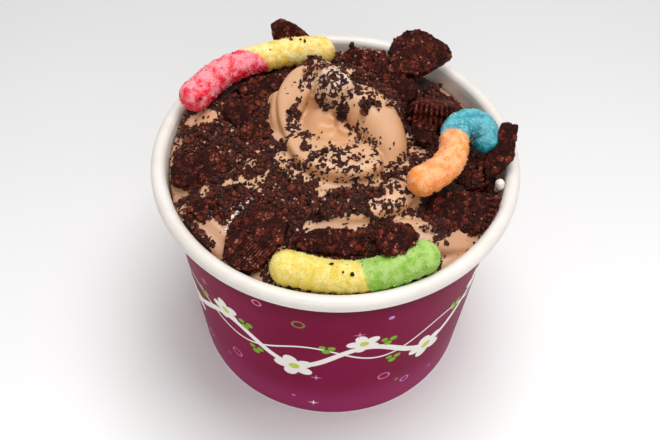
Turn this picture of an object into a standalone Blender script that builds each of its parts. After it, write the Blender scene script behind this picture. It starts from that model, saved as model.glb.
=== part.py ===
# Dirt cup: chocolate frozen yogurt in a paper tub, heaped with broken sandwich cookies,
# cookie crumbs and three sour gummy worms.
# Metres, +Z up, -Y is the front. The origin is the centre of the tub's foot.
import math
import random

import bmesh
import bpy
import numpy as np
from mathutils import Matrix, Vector
from mathutils.bvhtree import BVHTree

weldDistance = 0.000005     # joins the corners that a Boolean leaves almost in one place
clearance = 0.00050         # kept between pieces that touch

# Paper tub
rimRadius = 0.056           # outside of the rolled rim
rimHeight = 0.080
rollRadius = 0.00234        # of the rim's own round section
wallTopRadius = 0.0518      # outside of the wall where it meets the rim
footRadius = 0.0465
boardThickness = 0.0007
footThickness = 0.0013      # the board is folded double round the foot
recessHeight = 0.0035       # the floor stands this far above the table
floorThickness = 0.0010
tubSides = 56

# Yogurt
fillBottom = recessHeight + floorThickness + clearance
shoreHeight = 0.0757        # where the yogurt meets the wall, on average
shoreTilt = 0.0019          # higher at the left, lower at the right
shoulderRise = 0.0045       # from the wall up to the rounded shoulder
moundRise = 0.0040          # from the shoulder to the middle, under the swirl
coreRise = 0.0066           # fills the hollow in the middle of the swirl
coreCentre = (0.0, 0.0020)
coreReach = 0.0170
moundSides = 36
moundRings = (1.0, 0.97, 0.92, 0.85, 0.76, 0.65, 0.52, 0.38, 0.22)

# Strands of yogurt fused on the mound: x, y, z of the middle, half the width and half the height
yogurtStrands = {
    "swirlUnder": ((-0.0180, 0.0050, 0.0825, 0.0040, 0.0040), (-0.0172, -0.0020, 0.0828, 0.0044, 0.0044),
                   (-0.0140, -0.0085, 0.0826, 0.0048, 0.0046),
                   (-0.0070, -0.0138, 0.0820, 0.0052, 0.0046), (0.0030, -0.0166, 0.0814, 0.0054, 0.0048),
                   (0.0100, -0.0156, 0.0816, 0.0048, 0.0044), (0.0150, -0.0130, 0.0810, 0.0036, 0.0036)),
    "swirlLedge": ((-0.0124, 0.0010, 0.0866, 0.0026, 0.0028), (-0.0112, -0.0042, 0.0868, 0.0038, 0.0034),
                   (-0.0068, -0.0090, 0.0868, 0.0054, 0.0038), (0.0000, -0.0112, 0.0866, 0.0064, 0.0040),
                   (0.0060, -0.0112, 0.0864, 0.0064, 0.0040), (0.0096, -0.0100, 0.0862, 0.0058, 0.0040)),
    "swirlLobe": ((0.0160, -0.0070, 0.0826, 0.0044, 0.0044), (0.0154, -0.0030, 0.0852, 0.0058, 0.0056),
                  (0.0132, 0.0014, 0.0876, 0.0068, 0.0064), (0.0102, 0.0050, 0.0898, 0.0073, 0.0068),
                  (0.0066, 0.0078, 0.0916, 0.0068, 0.0066), (0.0030, 0.0092, 0.0936, 0.0050, 0.0050)),
    "swirlRibbon": ((-0.0134, -0.0012, 0.0864, 0.0022, 0.0032),
                    (-0.0142, 0.0040, 0.0892, 0.0034, 0.0032), (-0.0134, 0.0090, 0.0924, 0.0046, 0.0032),
                    (-0.0106, 0.0134, 0.0952, 0.0048, 0.0030),
                    (-0.0078, 0.0172, 0.0972, 0.0028, 0.0022)),
    "swirlRibbonSide": ((-0.0166, 0.0010, 0.0840, 0.0028, 0.0028),
                        (-0.0178, 0.0060, 0.0864, 0.0034, 0.0034),
                        (-0.0174, 0.0110, 0.0890, 0.0036, 0.0036)),
    "swirlBack": ((-0.0130, 0.0130, 0.0840, 0.0060, 0.0060), (-0.0050, 0.0180, 0.0865, 0.0080, 0.0080),
                  (0.0050, 0.0176, 0.0865, 0.0078, 0.0078), (0.0135, 0.0110, 0.0860, 0.0064, 0.0064)),
    "swirlSlope": ((-0.0070, 0.0030, 0.0846, 0.0046, 0.0046), (-0.0010, 0.0016, 0.0846, 0.0056, 0.0056),
                   (0.0050, 0.0000, 0.0840, 0.0046, 0.0046)),
    "swirlBump": ((-0.0080, 0.0030, 0.0894, 0.0016, 0.0014), (-0.0068, 0.0028, 0.0898, 0.0017, 0.0015)),
    "swirlTip": ((-0.0036, 0.0086, 0.0880, 0.0060, 0.0060), (-0.0016, 0.0092, 0.0920, 0.0059, 0.0059),
                 (-0.0010, 0.0096, 0.0968, 0.0058, 0.0058)),
    "swirlCrest": ((-0.0022, 0.0118, 0.0972, 0.0046, 0.0046), (-0.0050, 0.0154, 0.0982, 0.0034, 0.0034),
                   (-0.0078, 0.0190, 0.0988, 0.0014, 0.0014)),
    "lowerCoil": ((-0.0230, -0.0060, 0.0795, 0.0055, 0.0055), (-0.0185, -0.0160, 0.0795, 0.0062, 0.0062),
                  (-0.0085, -0.0225, 0.0795, 0.0066, 0.0066), (0.0050, -0.0235, 0.0795, 0.0066, 0.0066),
                  (0.0165, -0.0190, 0.0800, 0.0064, 0.0064), (0.0230, -0.0090, 0.0800, 0.0055, 0.0055)),
    "leftFold": ((-0.0440, -0.0170, 0.0735, 0.0040, 0.0040), (-0.0405, -0.0230, 0.0745, 0.0050, 0.0050),
                 (-0.0345, -0.0300, 0.0750, 0.0055, 0.0055), (-0.0265, -0.0375, 0.0735, 0.0042, 0.0042)),
    "leftShore": ((-0.0450, 0.0060, 0.0750, 0.0042, 0.0042), (-0.0430, 0.0150, 0.0765, 0.0056, 0.0056),
                  (-0.0350, 0.0265, 0.0775, 0.0056, 0.0056), (-0.0220, 0.0360, 0.0775, 0.0045, 0.0045)),
    "rightFold": ((0.0200, -0.0290, 0.0775, 0.0045, 0.0045), (0.0270, -0.0310, 0.0770, 0.0056, 0.0056),
                  (0.0360, -0.0300, 0.0745, 0.0042, 0.0042)),
    "rightShore": ((0.0320, -0.0375, 0.0725, 0.0036, 0.0036), (0.0400, -0.0290, 0.0730, 0.0042, 0.0042),
                   (0.0450, -0.0190, 0.0725, 0.0036, 0.0036)),
}
squareStrands = ("swirlRibbon", "swirlLedge")    # folded flat, so their section is nearly square
roundStrands = ("swirlLobe",)                    # pressed smooth, so it has no flutes
strandSteps = 7
strandSides = 9
strandFlutes = 5            # ridges left by the star nozzle
fluteDepth = 0.08

# Coarse cookie crumbs fused on the yogurt
crumbCount = 40
crumbRadii = (0.0010, 0.0019)
crumbReach = 0.046          # no crumb lies further out
crumbSeed = 11

# Gummy worms: points along the middle, at one end the first colour
wormRadius = 0.0049
wormSides = 12
wormSteps = 13
wormGirths = {              # shares of that radius from end to end
    "worm_red_yellow": (1.05, 1.00, 0.96, 1.00, 1.05),
    "worm_orange_blue": (1.04, 1.00, 0.91, 0.88, 0.88, 0.82),
    "worm_yellow_green": (1.05, 1.00, 0.96, 1.00, 1.05),
}
wormPaths = {
    "worm_red_yellow": ((-0.0440, 0.0160, 0.0860), (-0.0365, 0.0265, 0.0862), (-0.0255, 0.0335, 0.0862),
                        (-0.0145, 0.0378, 0.0858), (-0.0065, 0.0392, 0.0852)),
    "worm_orange_blue": ((0.0248, -0.0184, 0.0885), (0.0286, -0.0164, 0.0892), (0.0323, -0.0126, 0.0900),
                         (0.0343, -0.0076, 0.0907), (0.0351, -0.0028, 0.0910), (0.0366, 0.0014, 0.0908),
                         (0.0400, 0.0038, 0.0901), (0.0434, 0.0034, 0.0884), (0.0444, 0.0010, 0.0862)),
    "worm_yellow_green": ((-0.0122, -0.0438, 0.0795), (-0.0030, -0.0455, 0.0790), (0.0065, -0.0457, 0.0790),
                          (0.0155, -0.0440, 0.0798), (0.0245, -0.0400, 0.0812)),
}

# Broken cookies. place: the middle of the upper face; faces: where that face looks;
# edge: direction and distance of what is left of the round rim; breaks: the other sides.
# The larger ones have reach instead: the distance to the outline, in equal turns from +X.
waferRadius = 0.0222
cookieSides = 12
waferLayers = ((0.80, -1.0), (1.0, -0.62), (0.97, -0.08), (0.62, 0.0))     # share of the outline, level
sandwichLayers = ((0.84, -1.0), (0.93, -0.70), (0.90, -0.58), (0.78, -0.50), (1.0, -0.42), (0.97, -0.06),
                  (0.66, 0.0))                                             # with the filling's groove
cookiePieces = {
    "cookie_back_slab": dict(place=(0.0271, 0.0357, 0.0895), faces=(0.16, -0.42, 0.89), thick=0.0065,
                             reach=(0.0104, 0.0092, 0.0077, 0.0074, 0.0082, 0.0095, 0.0104, 0.0116,
                                    0.0107, 0.0102, 0.0079, 0.0066, 0.0063, 0.0070)),
    "cookie_back_shard": dict(place=(-0.0163, 0.0440, 0.0874), faces=(0.10, -0.80, 0.55), thick=0.0036,
                              reach=(0.0067, 0.0046, 0.0040, 0.0046, 0.0064, 0.0072, 0.0059, 0.0061,
                                     0.0056, 0.0063, 0.0083, 0.0089)),
    "cookie_back_rubble": dict(place=(0.0074, 0.0352, 0.0855), faces=(-0.05, -0.45, 0.89), thick=0.0070,
                               reach=(0.0086, 0.0084, 0.0048, 0.0046, 0.0069, 0.0066, 0.0080, 0.0086, 0.0088,
                                      0.0088, 0.0084, 0.0086)),
    "cookie_back_low": dict(place=(0.0158, 0.0245, 0.0880), faces=(0.10, -0.45, 0.88), thick=0.0060,
                            edge=(60, 0.0068),
                            breaks={0: 0.0062, 270: 0.0064, 180: 0.0080, 120: 0.0072, 320: 0.0062}),
    "cookie_left_back": dict(place=(-0.0225, 0.0208, 0.0858), faces=(0.00, -0.30, 0.95), thick=0.0060,
                             edge=(100, 0.0056),
                             breaks={0: 0.0112, 270: 0.0050, 180: 0.0100, 225: 0.0085, 320: 0.0085}),
    "cookie_dark_flake": dict(place=(0.0205, 0.0159, 0.0900), faces=(-0.25, -0.55, 0.80), thick=0.0036,
                              reach=(0.0037, 0.0048, 0.0051, 0.0045, 0.0037, 0.0041, 0.0049, 0.0047,
                                     0.0034, 0.0032)),
    "cookie_ridged": dict(place=(0.0296, 0.0152, 0.0880), faces=(0.06, 0.55, 0.83), thick=0.0088, sandwich=True,
                          reach=(0.0086, 0.0082, 0.0070, 0.0052, 0.0046, 0.0050, 0.0062, 0.0076,
                                 0.0086, 0.0082, 0.0072, 0.0064, 0.0060, 0.0061, 0.0066, 0.0076)),
    "cookie_right_shard": dict(place=(0.0492, -0.0038, 0.0865), faces=(0.00, -0.62, 0.78), thick=0.0044,
                               reach=(0.0040, 0.0046, 0.0093, 0.0087, 0.0051, 0.0040, 0.0042, 0.0058,
                                      0.0107, 0.0070, 0.0044, 0.0041)),
    "cookie_front_right": dict(place=(0.0365, -0.0240, 0.0816), faces=(0.05, -0.35, 0.93), thick=0.0062,
                               reach=(0.0098, 0.0136, 0.0092, 0.0073, 0.0072, 0.0081, 0.0107, 0.0110,
                                      0.0096, 0.0076, 0.0066, 0.0064, 0.0077, 0.0084)),
    "cookie_right_low": dict(place=(0.0400, -0.0078, 0.0812), faces=(0.00, -0.20, 0.98), thick=0.0060,
                             edge=(0, 0.0062),
                             breaks={90: 0.0070, 40: 0.0074, 300: 0.0060, 250: 0.0052, 190: 0.0068}),
    "cookie_inner": dict(place=(0.0255, 0.0040, 0.0860), faces=(-0.20, -0.40, 0.89), thick=0.0045,
                         edge=(285, 0.0048),
                         breaks={110: 0.0045, 40: 0.0040, 340: 0.0036, 210: 0.0036, 165: 0.0036}),
    "cookie_left_slab": dict(place=(-0.0397, -0.0109, 0.0830), faces=(-0.10, -0.20, 0.97), thick=0.0062,
                             reach=(0.0101, 0.0091, 0.0074, 0.0067, 0.0065, 0.0072, 0.0082, 0.0100,
                                    0.0094, 0.0080, 0.0068, 0.0066, 0.0075, 0.0095)),
    "cookie_left_middle": dict(place=(-0.0235, 0.0010, 0.0862), faces=(-0.10, -0.35, 0.93), thick=0.0060,
                               edge=(300, 0.0052),
                               breaks={90: 0.0042, 30: 0.0062, 0: 0.0066, 250: 0.0050, 200: 0.0062,
                                       160: 0.0064}),
    "cookie_left_upper": dict(place=(-0.0270, 0.0100, 0.0862), faces=(0.00, -0.30, 0.95), thick=0.0060,
                              edge=(135, 0.0070),
                              breaks={95: 0.0052, 50: 0.0068, 0: 0.0072, 285: 0.0050, 220: 0.0070,
                                      170: 0.0086}),
    "cookie_left_lower": dict(place=(-0.0291, -0.0245, 0.0822), faces=(0.00, -0.20, 0.98), thick=0.0048,
                              edge=(310, 0.0042),
                              breaks={110: 0.0050, 60: 0.0058, 10: 0.0045, 250: 0.0054, 180: 0.0044}),
    "cookie_left_front": dict(place=(-0.0368, -0.0252, 0.0814), faces=(0.00, -0.15, 0.98), thick=0.0044,
                              edge=(225, 0.0040),
                              breaks={110: 0.0042, 45: 0.0042, 0: 0.0048, 280: 0.0050, 170: 0.0052}),
    "cookie_front_left": dict(place=(-0.0218, -0.0364, 0.0829), faces=(-0.05, -0.30, 0.95), thick=0.0052,
                              reach=(0.0087, 0.0110, 0.0110, 0.0108, 0.0103, 0.0092, 0.0088, 0.0084,
                                     0.0102, 0.0106, 0.0107, 0.0088, 0.0070, 0.0069)),
    "cookie_front_clump": dict(place=(0.0178, -0.0398, 0.0870), faces=(0.00, -0.30, 0.95), thick=0.0070,
                               edge=(50, 0.0072),
                               breaks={95: 0.0068, 5: 0.0056, 315: 0.0060, 275: 0.0060, 225: 0.0054,
                                       180: 0.0062, 135: 0.0066}),
    "cookie_front_rubble": dict(place=(0.0002, -0.0366, 0.0840), faces=(0.00, -0.25, 0.97), thick=0.0062,
                                edge=(90, 0.0040),
                                breaks={45: 0.0075, 0: 0.0108, 270: 0.0046, 225: 0.0086, 180: 0.0125}),
}

# A bit of the cookies' white filling, fallen by the wall
fillingPlace = (0.0486, -0.0115, 0.0802)
fillingRadii = (0.0012, 0.0012, 0.0019)


def makeObject(name, vertices, faces, colour, roughness):
    mesh = bpy.data.meshes.new(name)
    mesh.from_pydata([tuple(v) for v in vertices], [], faces)
    mesh.validate()
    material = bpy.data.materials.new(name)
    material.use_nodes = True
    shader = material.node_tree.nodes["Principled BSDF"]
    shader.inputs["Base Color"].default_value = (*colour, 1.0)
    shader.inputs["Roughness"].default_value = roughness
    mesh.materials.append(material)
    thing = bpy.data.objects.new(name, mesh)
    bpy.context.scene.collection.objects.link(thing)
    mesh.shade_smooth()
    mesh.set_sharp_from_angle(angle=math.radians(40))
    return thing


def gridFaces(rings, sides):
    # Quads between closed rings of vertices, and a fan to a single vertex at each end.
    faces = []
    for j in range(sides):
        k = (j + 1) % sides
        faces.append((0, 1 + k, 1 + j))
        for i in range(rings - 1):
            a = 1 + i * sides
            b = a + sides
            faces.append((a + j, a + k, b + k, b + j))
        last = 1 + (rings - 1) * sides
        faces.append((last + j, last + k, last + sides))
    return faces


def turned(name, profile, sides, colour, roughness):
    # Turns a profile round Z. Its first and last points lie on the axis.
    vertices = [(0.0, 0.0, profile[0][1])]
    for radius, height in profile[1:-1]:
        for j in range(sides):
            angle = math.tau * j / sides
            vertices.append((radius * math.cos(angle), radius * math.sin(angle), height))
    vertices.append((0.0, 0.0, profile[-1][1]))
    return makeObject(name, vertices, gridFaces(len(profile) - 2, sides), colour, roughness)


def innerWall(height):
    # Radius of the tub's inside at a height.
    slope = (wallTopRadius - footRadius) / (rimHeight - 2 * rollRadius)
    return footRadius + slope * height - boardThickness


def buildTub():
    rollCentre = (rimRadius - rollRadius, rimHeight - rollRadius)
    wallTop = rimHeight - 2 * rollRadius
    profile = [(0.0, recessHeight), (footRadius - footThickness, recessHeight),
               (footRadius - footThickness, 0.0), (footRadius, 0.0)]
    for part in (0.5, 0.985):
        profile.append((footRadius + part * (wallTopRadius - footRadius), part * wallTop))
    for degrees in range(232, 530, 33):
        angle = math.radians(degrees)
        profile.append((rollCentre[0] + rollRadius * math.cos(angle),
                        rollCentre[1] + rollRadius * math.sin(angle)))
    for height in (rimHeight - 0.0040, fillBottom - clearance):
        profile.append((innerWall(height), height))
    profile.append((0.0, fillBottom - clearance))
    return turned("cup", profile, tubSides, (0.16, 0.02, 0.07), 0.35)


def smoothStep(low, high, value):
    t = min(max((value - low) / (high - low), 0.0), 1.0)
    return t * t * (3 - 2 * t)


def moundHeight(x, y):
    # Height of the yogurt under the swirl and the folds.
    reach = math.hypot(x, y)
    turn = math.atan2(y, x)
    height = shoreHeight - shoreTilt * math.cos(turn) - 0.0008 * math.sin(2 * turn + 0.6)
    height += shoulderRise * smoothStep(0.0505, 0.041, reach)
    height += moundRise * smoothStep(0.042, 0.020, reach)
    fromCore = math.hypot(x - coreCentre[0], y - coreCentre[1])
    height += coreRise * smoothStep(coreReach, coreReach / 3, fromCore)
    waves = math.sin(3 * turn + reach * 260) * 0.0006
    return height + waves * smoothStep(0.0505, 0.044, reach)


def buildMound():
    vertices = [(0.0, 0.0, fillBottom)]
    bottomReach = innerWall(fillBottom) - clearance
    wallSteps = 3
    for i in range(wallSteps):
        for j in range(moundSides):
            angle = math.tau * j / moundSides
            top = moundHeight(0.0505 * math.cos(angle), 0.0505 * math.sin(angle)) - 0.001
            height = fillBottom + (top - fillBottom) * i / (wallSteps - 1)
            reach = innerWall(height) - clearance
            vertices.append((reach * math.cos(angle), reach * math.sin(angle), height))
    for ring in moundRings:
        reach = (bottomReach + 0.0046) * ring
        for j in range(moundSides):
            angle = math.tau * j / moundSides
            x = reach * math.cos(angle)
            y = reach * math.sin(angle)
            vertices.append((x, y, moundHeight(x, y)))
    vertices.append((0.0, 0.0, moundHeight(0.0, 0.0)))
    return makeObject("yogurt", vertices, gridFaces(wallSteps + len(moundRings), moundSides),
                      (0.58, 0.34, 0.21), 0.4)


def splinePoints(points, steps):
    # Evenly stepped points on a Catmull-Rom curve through the given points.
    knots = [np.array(p, float) if np.ndim(p) else np.array([p], float) for p in points]
    knots = [2 * knots[0] - knots[1]] + knots + [2 * knots[-1] - knots[-2]]
    result = []
    for s in np.linspace(0, len(points) - 1, steps):
        i = min(int(s), len(points) - 2)
        t = s - i
        a, b, c, d = knots[i:i + 4]
        result.append(0.5 * (2 * b + (c - a) * t + (2 * a - 5 * b + 4 * c - d) * t * t
                             + (3 * b - a - 3 * c + d) * t ** 3))
    return result


def strandShape(points, sizeAt, steps, sides, ringShape):
    # A strand along a curve, closed by round ends. sizeAt gives half its width and height
    # from 0 to 1 along it, and ringShape scales the section by the angle round it.
    middle = splinePoints(points, steps)
    vertices = []
    for i, centre in enumerate(middle):
        ahead = Vector(middle[min(i + 1, steps - 1)] - middle[max(i - 1, 0)]).normalized()
        side = Vector((0, 0, 1)).cross(ahead).normalized()
        over = ahead.cross(side)
        width, height = sizeAt(i / (steps - 1))
        rings = [(0.0, 1.0)]
        if i == 0:
            vertices.append(Vector(centre) - ahead * height)
            rings.insert(0, (-0.72, 0.70))
        if i == steps - 1:
            rings.append((0.72, 0.70))
        for shift, share in rings:
            for j in range(sides):
                angle = math.tau * j / sides
                scale = share * ringShape(angle)
                vertices.append(Vector(centre) + ahead * shift * height
                                + side * width * scale * math.cos(angle)
                                + over * height * scale * math.sin(angle))
        if i == steps - 1:
            vertices.append(Vector(centre) + ahead * height)
    return vertices, gridFaces(steps + 2, sides)


def buildWorm(name, colour):
    girths = splinePoints([(girth,) for girth in wormGirths[name]], wormSteps)

    def sizeAt(t):
        # Ringed like an earthworm.
        girth = float(girths[round(t * (wormSteps - 1))][0])
        radius = wormRadius * girth * (1.0 + 0.02 * math.cos(math.tau * 5 * t))
        return radius, radius
    vertices, faces = strandShape(wormPaths[name], sizeAt, wormSteps, wormSides, lambda angle: 1.0)
    return makeObject(name, vertices, faces, colour, 0.6)


def outlineReach(spec, angle):
    # Distance from the middle of a cookie piece to its outline in one direction.
    heading = np.array([math.cos(angle), math.sin(angle)])
    edgeAngle = math.radians(spec["edge"][0])
    radius = spec.get("radius", waferRadius)
    centre = (spec["edge"][1] - radius) * np.array([math.cos(edgeAngle), math.sin(edgeAngle)])
    along = float(centre @ heading)
    reach = along + math.sqrt(max(along ** 2 - float(centre @ centre) + radius ** 2, 0.0))
    for degrees, distance in spec["breaks"].items():
        facing = math.cos(angle - math.radians(degrees))
        if facing > 0.2:
            reach = min(reach, distance / facing)
    return reach


def pieceFrame(spec):
    # Turns a piece's own flat plan to the way its upper face looks.
    up = Vector(spec["faces"]).normalized()
    right = (Vector((1, 0, 0)) - up * up.x).normalized()
    turn = Matrix((right, up.cross(right), up)).transposed()
    return Matrix.Translation(spec["place"]) @ turn.to_4x4()


def buildCookie(name, seed):
    spec = cookiePieces[name]
    draw = random.Random(seed)
    thick = spec["thick"]
    frame = pieceFrame(spec)
    sides = len(spec["reach"]) if "reach" in spec else cookieSides
    layers = sandwichLayers if spec.get("sandwich") else waferLayers
    vertices = [frame @ Vector((0, 0, -thick))]
    rough = [1 + draw.uniform(-0.05, 0.05) for j in range(sides)]
    for share, level in layers:
        for j in range(sides):
            angle = math.tau * j / sides
            reach = spec["reach"][j] if "reach" in spec else outlineReach(spec, angle) * rough[j]
            reach *= share * (1 + draw.uniform(-0.03, 0.03))
            bump = draw.uniform(-0.07, 0.07) * thick
            vertices.append(frame @ Vector((reach * math.cos(angle), reach * math.sin(angle),
                                            level * thick + bump)))
    vertices.append(frame @ Vector((0, 0, 0)))
    return makeObject(name, vertices, gridFaces(len(layers), sides), (0.045, 0.014, 0.008), 0.7)


def buildFilling():
    mesh = bmesh.new()
    bmesh.ops.create_icosphere(mesh, subdivisions=2, radius=1.0)
    vertices = [Vector([v.co[k] * fillingRadii[k] for k in range(3)]) + Vector(fillingPlace)
                for v in mesh.verts]
    faces = [tuple(v.index for v in f.verts) for f in mesh.faces]
    mesh.free()
    return makeObject("cream_bit", vertices, faces, (0.9, 0.88, 0.84), 0.5)


def worldMesh(thing):
    mesh = bmesh.new()
    mesh.from_mesh(thing.data)
    bmesh.ops.triangulate(mesh, faces=mesh.faces[:])
    return mesh


def treeOf(thing):
    mesh = worldMesh(thing)
    tree = BVHTree.FromBMesh(mesh)
    mesh.free()
    return tree


def grownCopy(thing):
    # A copy a clearance larger all round, for cutting neighbours.
    mesh = worldMesh(thing)
    mesh.normal_update()
    moved = [v.co + v.normal * clearance * min(v.calc_shell_factor(), 2.5) for v in mesh.verts]
    for vertex, place in zip(mesh.verts, moved):
        vertex.co = place
    data = bpy.data.meshes.new("grown")
    mesh.to_mesh(data)
    mesh.free()
    copy = bpy.data.objects.new("grown_" + thing.name, data)
    copy.hide_render = True
    copy.display_type = "WIRE"
    return copy


def keepLargest(mesh):
    # Drops loose scraps and fills sealed hollows: only the largest connected body stays.
    left = set(mesh.faces)
    bodies = []
    while left:
        front = [left.pop()]
        body = []
        while front:
            face = front.pop()
            body.append(face)
            joined = [edge for edge in face.edges if len(edge.link_faces) == 2]
            for other in [f for edge in joined for f in edge.link_faces]:
                if other in left:
                    left.remove(other)
                    front.append(other)
        bodies.append(body)
    bodies.sort(key=len)
    for body in bodies[:-1]:
        bmesh.ops.delete(mesh, geom=body, context="FACES")


def combine(thing, others, operation):
    # One Boolean with a collection, applied, after which the collection's objects go.
    if not others:
        return
    group = bpy.data.collections.new("operands")
    bpy.context.scene.collection.children.link(group)
    for other in others:
        group.objects.link(other)
    cut = thing.modifiers.new("combine", "BOOLEAN")
    cut.operation = operation
    cut.operand_type = "COLLECTION"
    cut.collection = group
    cut.solver = "MANIFOLD"     # EXACT leaves walls that touch where crumbs meet the strands
    bpy.context.view_layer.update()
    scene = bpy.context.evaluated_depsgraph_get()
    mesh = bmesh.new()
    mesh.from_mesh(thing.evaluated_get(scene).to_mesh())
    thing.evaluated_get(scene).to_mesh_clear()
    thing.modifiers.remove(cut)
    bmesh.ops.triangulate(mesh, faces=mesh.faces[:])
    bmesh.ops.remove_doubles(mesh, verts=mesh.verts, dist=weldDistance)
    keepLargest(mesh)
    mesh.to_mesh(thing.data)
    mesh.free()
    for other in others:
        bpy.data.objects.remove(other)
    bpy.data.collections.remove(group)


def clearOf(thing, neighbours):
    # Cuts a piece free of the neighbours that it meets.
    tree = treeOf(thing)
    meets = [n for n in neighbours if near(tree, n)]
    combine(thing, [grownCopy(n) for n in meets], "DIFFERENCE")


def near(tree, neighbour):
    grown = grownCopy(neighbour)
    mesh = worldMesh(grown)
    other = BVHTree.FromBMesh(mesh)
    mesh.free()
    bpy.data.objects.remove(grown)
    return bool(tree.overlap(other))


def buildStrands():
    def fluted(angle):
        return 1 + fluteDepth * math.cos(strandFlutes * angle)

    def plain(angle):
        return 1.0

    def squared(angle):
        # A superellipse: the fourth powers of the two shares add up to one.
        return (math.cos(angle) ** 4 + math.sin(angle) ** 4) ** -0.25

    strands = []
    for name, rows in yogurtStrands.items():
        sizes = splinePoints([row[3:] for row in rows], strandSteps)
        shape = fluted
        if name in squareStrands:
            shape = squared
        if name in roundStrands:
            shape = plain
        vertices, faces = strandShape([row[:3] for row in rows],
                                      lambda t: sizes[round(t * (strandSteps - 1))].tolist(),
                                      strandSteps, strandSides, shape)
        strands.append(makeObject(name, vertices, faces, (0.58, 0.34, 0.21), 0.4))
    return strands


def buildCrumbs(ground, neighbours):
    # Coarse crumbs, the largest first, clear of the other pieces and of each other.
    draw = random.Random(crumbSeed)
    floor = treeOf(ground)
    others = [treeOf(n) for n in neighbours]
    crumbs = []
    taken = []
    while len(crumbs) < crumbCount:
        share = len(crumbs) / crumbCount
        radius = crumbRadii[1] + (crumbRadii[0] - crumbRadii[1]) * share
        reach = crumbReach * math.sqrt(draw.random())
        angle = draw.uniform(0, math.tau)
        start = Vector((reach * math.cos(angle), reach * math.sin(angle), rimHeight * 2))
        hit, normal, index, distance = floor.ray_cast(start, Vector((0, 0, -1)))
        if hit is None or normal.z < 0.3:
            continue
        centre = hit + normal * radius * 0.25
        if any((centre - place).length < radius + size + 0.0005 for place, size in taken):
            continue
        if any(tree.find_nearest(centre)[3] < radius + 2 * clearance for tree in others):
            continue
        mesh = bmesh.new()
        bmesh.ops.create_icosphere(mesh, subdivisions=1, radius=radius)
        spin = Matrix.Rotation(draw.uniform(0, math.tau), 3, draw.choice("XYZ"))
        vertices = [centre + spin @ Vector([c * draw.uniform(0.75, 1.1) for c in v.co])
                    for v in mesh.verts]
        faces = [tuple(v.index for v in f.verts) for f in mesh.faces]
        mesh.free()
        crumbs.append(makeObject("crumb", vertices, faces, (0.045, 0.014, 0.008), 0.8))
        taken.append((centre, radius))
    return crumbs


def main():
    for thing in list(bpy.data.objects):
        bpy.data.objects.remove(thing, do_unlink=True)
    cup = buildTub()
    placed = [cup]
    wormColours = {"worm_red_yellow": (0.72, 0.02, 0.06), "worm_orange_blue": (0.9, 0.36, 0.12),
                   "worm_yellow_green": (0.82, 0.62, 0.14)}
    for name, colour in wormColours.items():
        placed.append(buildWorm(name, colour))
    for seed, name in enumerate(cookiePieces):
        cookie = buildCookie(name, seed)
        clearOf(cookie, placed)
        placed.append(cookie)
    filling = buildFilling()
    clearOf(filling, placed)
    placed.append(filling)

    yogurt = buildMound()
    strands = buildStrands()
    for strand in strands:
        clearOf(strand, [cup])
    combine(yogurt, strands, "UNION")
    clearOf(yogurt, placed)
    combine(yogurt, buildCrumbs(yogurt, placed), "UNION")


main()
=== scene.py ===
import math

import bmesh
import bpy
import numpy as np
from mathutils import Matrix, Vector
from mathutils.bvhtree import BVHTree


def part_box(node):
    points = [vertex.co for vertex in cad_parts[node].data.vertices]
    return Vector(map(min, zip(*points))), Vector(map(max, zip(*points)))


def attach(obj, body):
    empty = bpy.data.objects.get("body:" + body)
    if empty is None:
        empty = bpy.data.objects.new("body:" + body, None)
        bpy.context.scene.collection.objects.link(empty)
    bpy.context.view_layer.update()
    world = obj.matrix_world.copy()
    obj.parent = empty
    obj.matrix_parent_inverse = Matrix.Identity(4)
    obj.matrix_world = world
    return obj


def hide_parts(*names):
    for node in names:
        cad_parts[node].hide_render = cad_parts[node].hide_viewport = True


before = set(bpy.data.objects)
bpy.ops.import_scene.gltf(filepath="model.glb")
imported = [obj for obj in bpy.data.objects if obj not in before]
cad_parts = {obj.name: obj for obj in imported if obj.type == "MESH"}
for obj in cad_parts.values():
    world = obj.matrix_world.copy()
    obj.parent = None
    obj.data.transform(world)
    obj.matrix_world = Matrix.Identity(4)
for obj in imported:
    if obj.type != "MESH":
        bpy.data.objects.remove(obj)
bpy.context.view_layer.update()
mm = 0.001                      # every shape below is worked out in millimetres
cupHigh = np.array(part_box("cup")[1]) / mm
rimRadius, rimHeight = cupHigh[0], cupHigh[2]
hashPrimes = np.array([73856093, 19349663, 83492791])           # these scramble lattice places
hashTwist = 1274126177
bodyName = "root"


def newPiece(name, points, faces, slot, materials, replaces=(), smooth=True):
    # faces is one array of triangles or quads, or a list of such arrays
    groups = faces if isinstance(faces, list) else [faces]
    starts, first = [], 0
    for group in groups:
        starts.append(first + np.arange(len(group)) * group.shape[1])
        first += group.size
    corners = np.concatenate([group.ravel() for group in groups])
    mesh = bpy.data.meshes.new(name)
    mesh.vertices.add(len(points))
    mesh.loops.add(len(corners))
    mesh.loops.foreach_set("vertex_index", corners.astype(np.int32))
    mesh.polygons.add(sum(len(group) for group in groups))
    mesh.polygons.foreach_set("loop_start", np.concatenate(starts).astype(np.int32))
    setPoints(mesh, np.asarray(points))
    mesh.update(calc_edges=True)
    mesh.validate()
    return dress(bpy.data.objects.new(name, mesh), materials, replaces, smooth)


def dress(piece, materials, replaces=(), smooth=True):
    # links a piece, gives it its materials and fixes it to the body
    if not piece.users_collection:
        bpy.context.scene.collection.objects.link(piece)
    piece.data.materials.clear()
    for material in materials:
        piece.data.materials.append(material)
    piece.data.polygons.foreach_set("use_smooth", np.full(len(piece.data.polygons), smooth))
    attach(piece, bodyName)
    if replaces:
        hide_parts(*replaces)
    return piece


def addValues(piece, **values):
    # a value for each point, which the materials read by its name
    for name, numbers in values.items():
        attribute = piece.data.attributes.new(name, "FLOAT", "POINT")
        attribute.data.foreach_set("value", np.asarray(numbers, np.float32))


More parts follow.
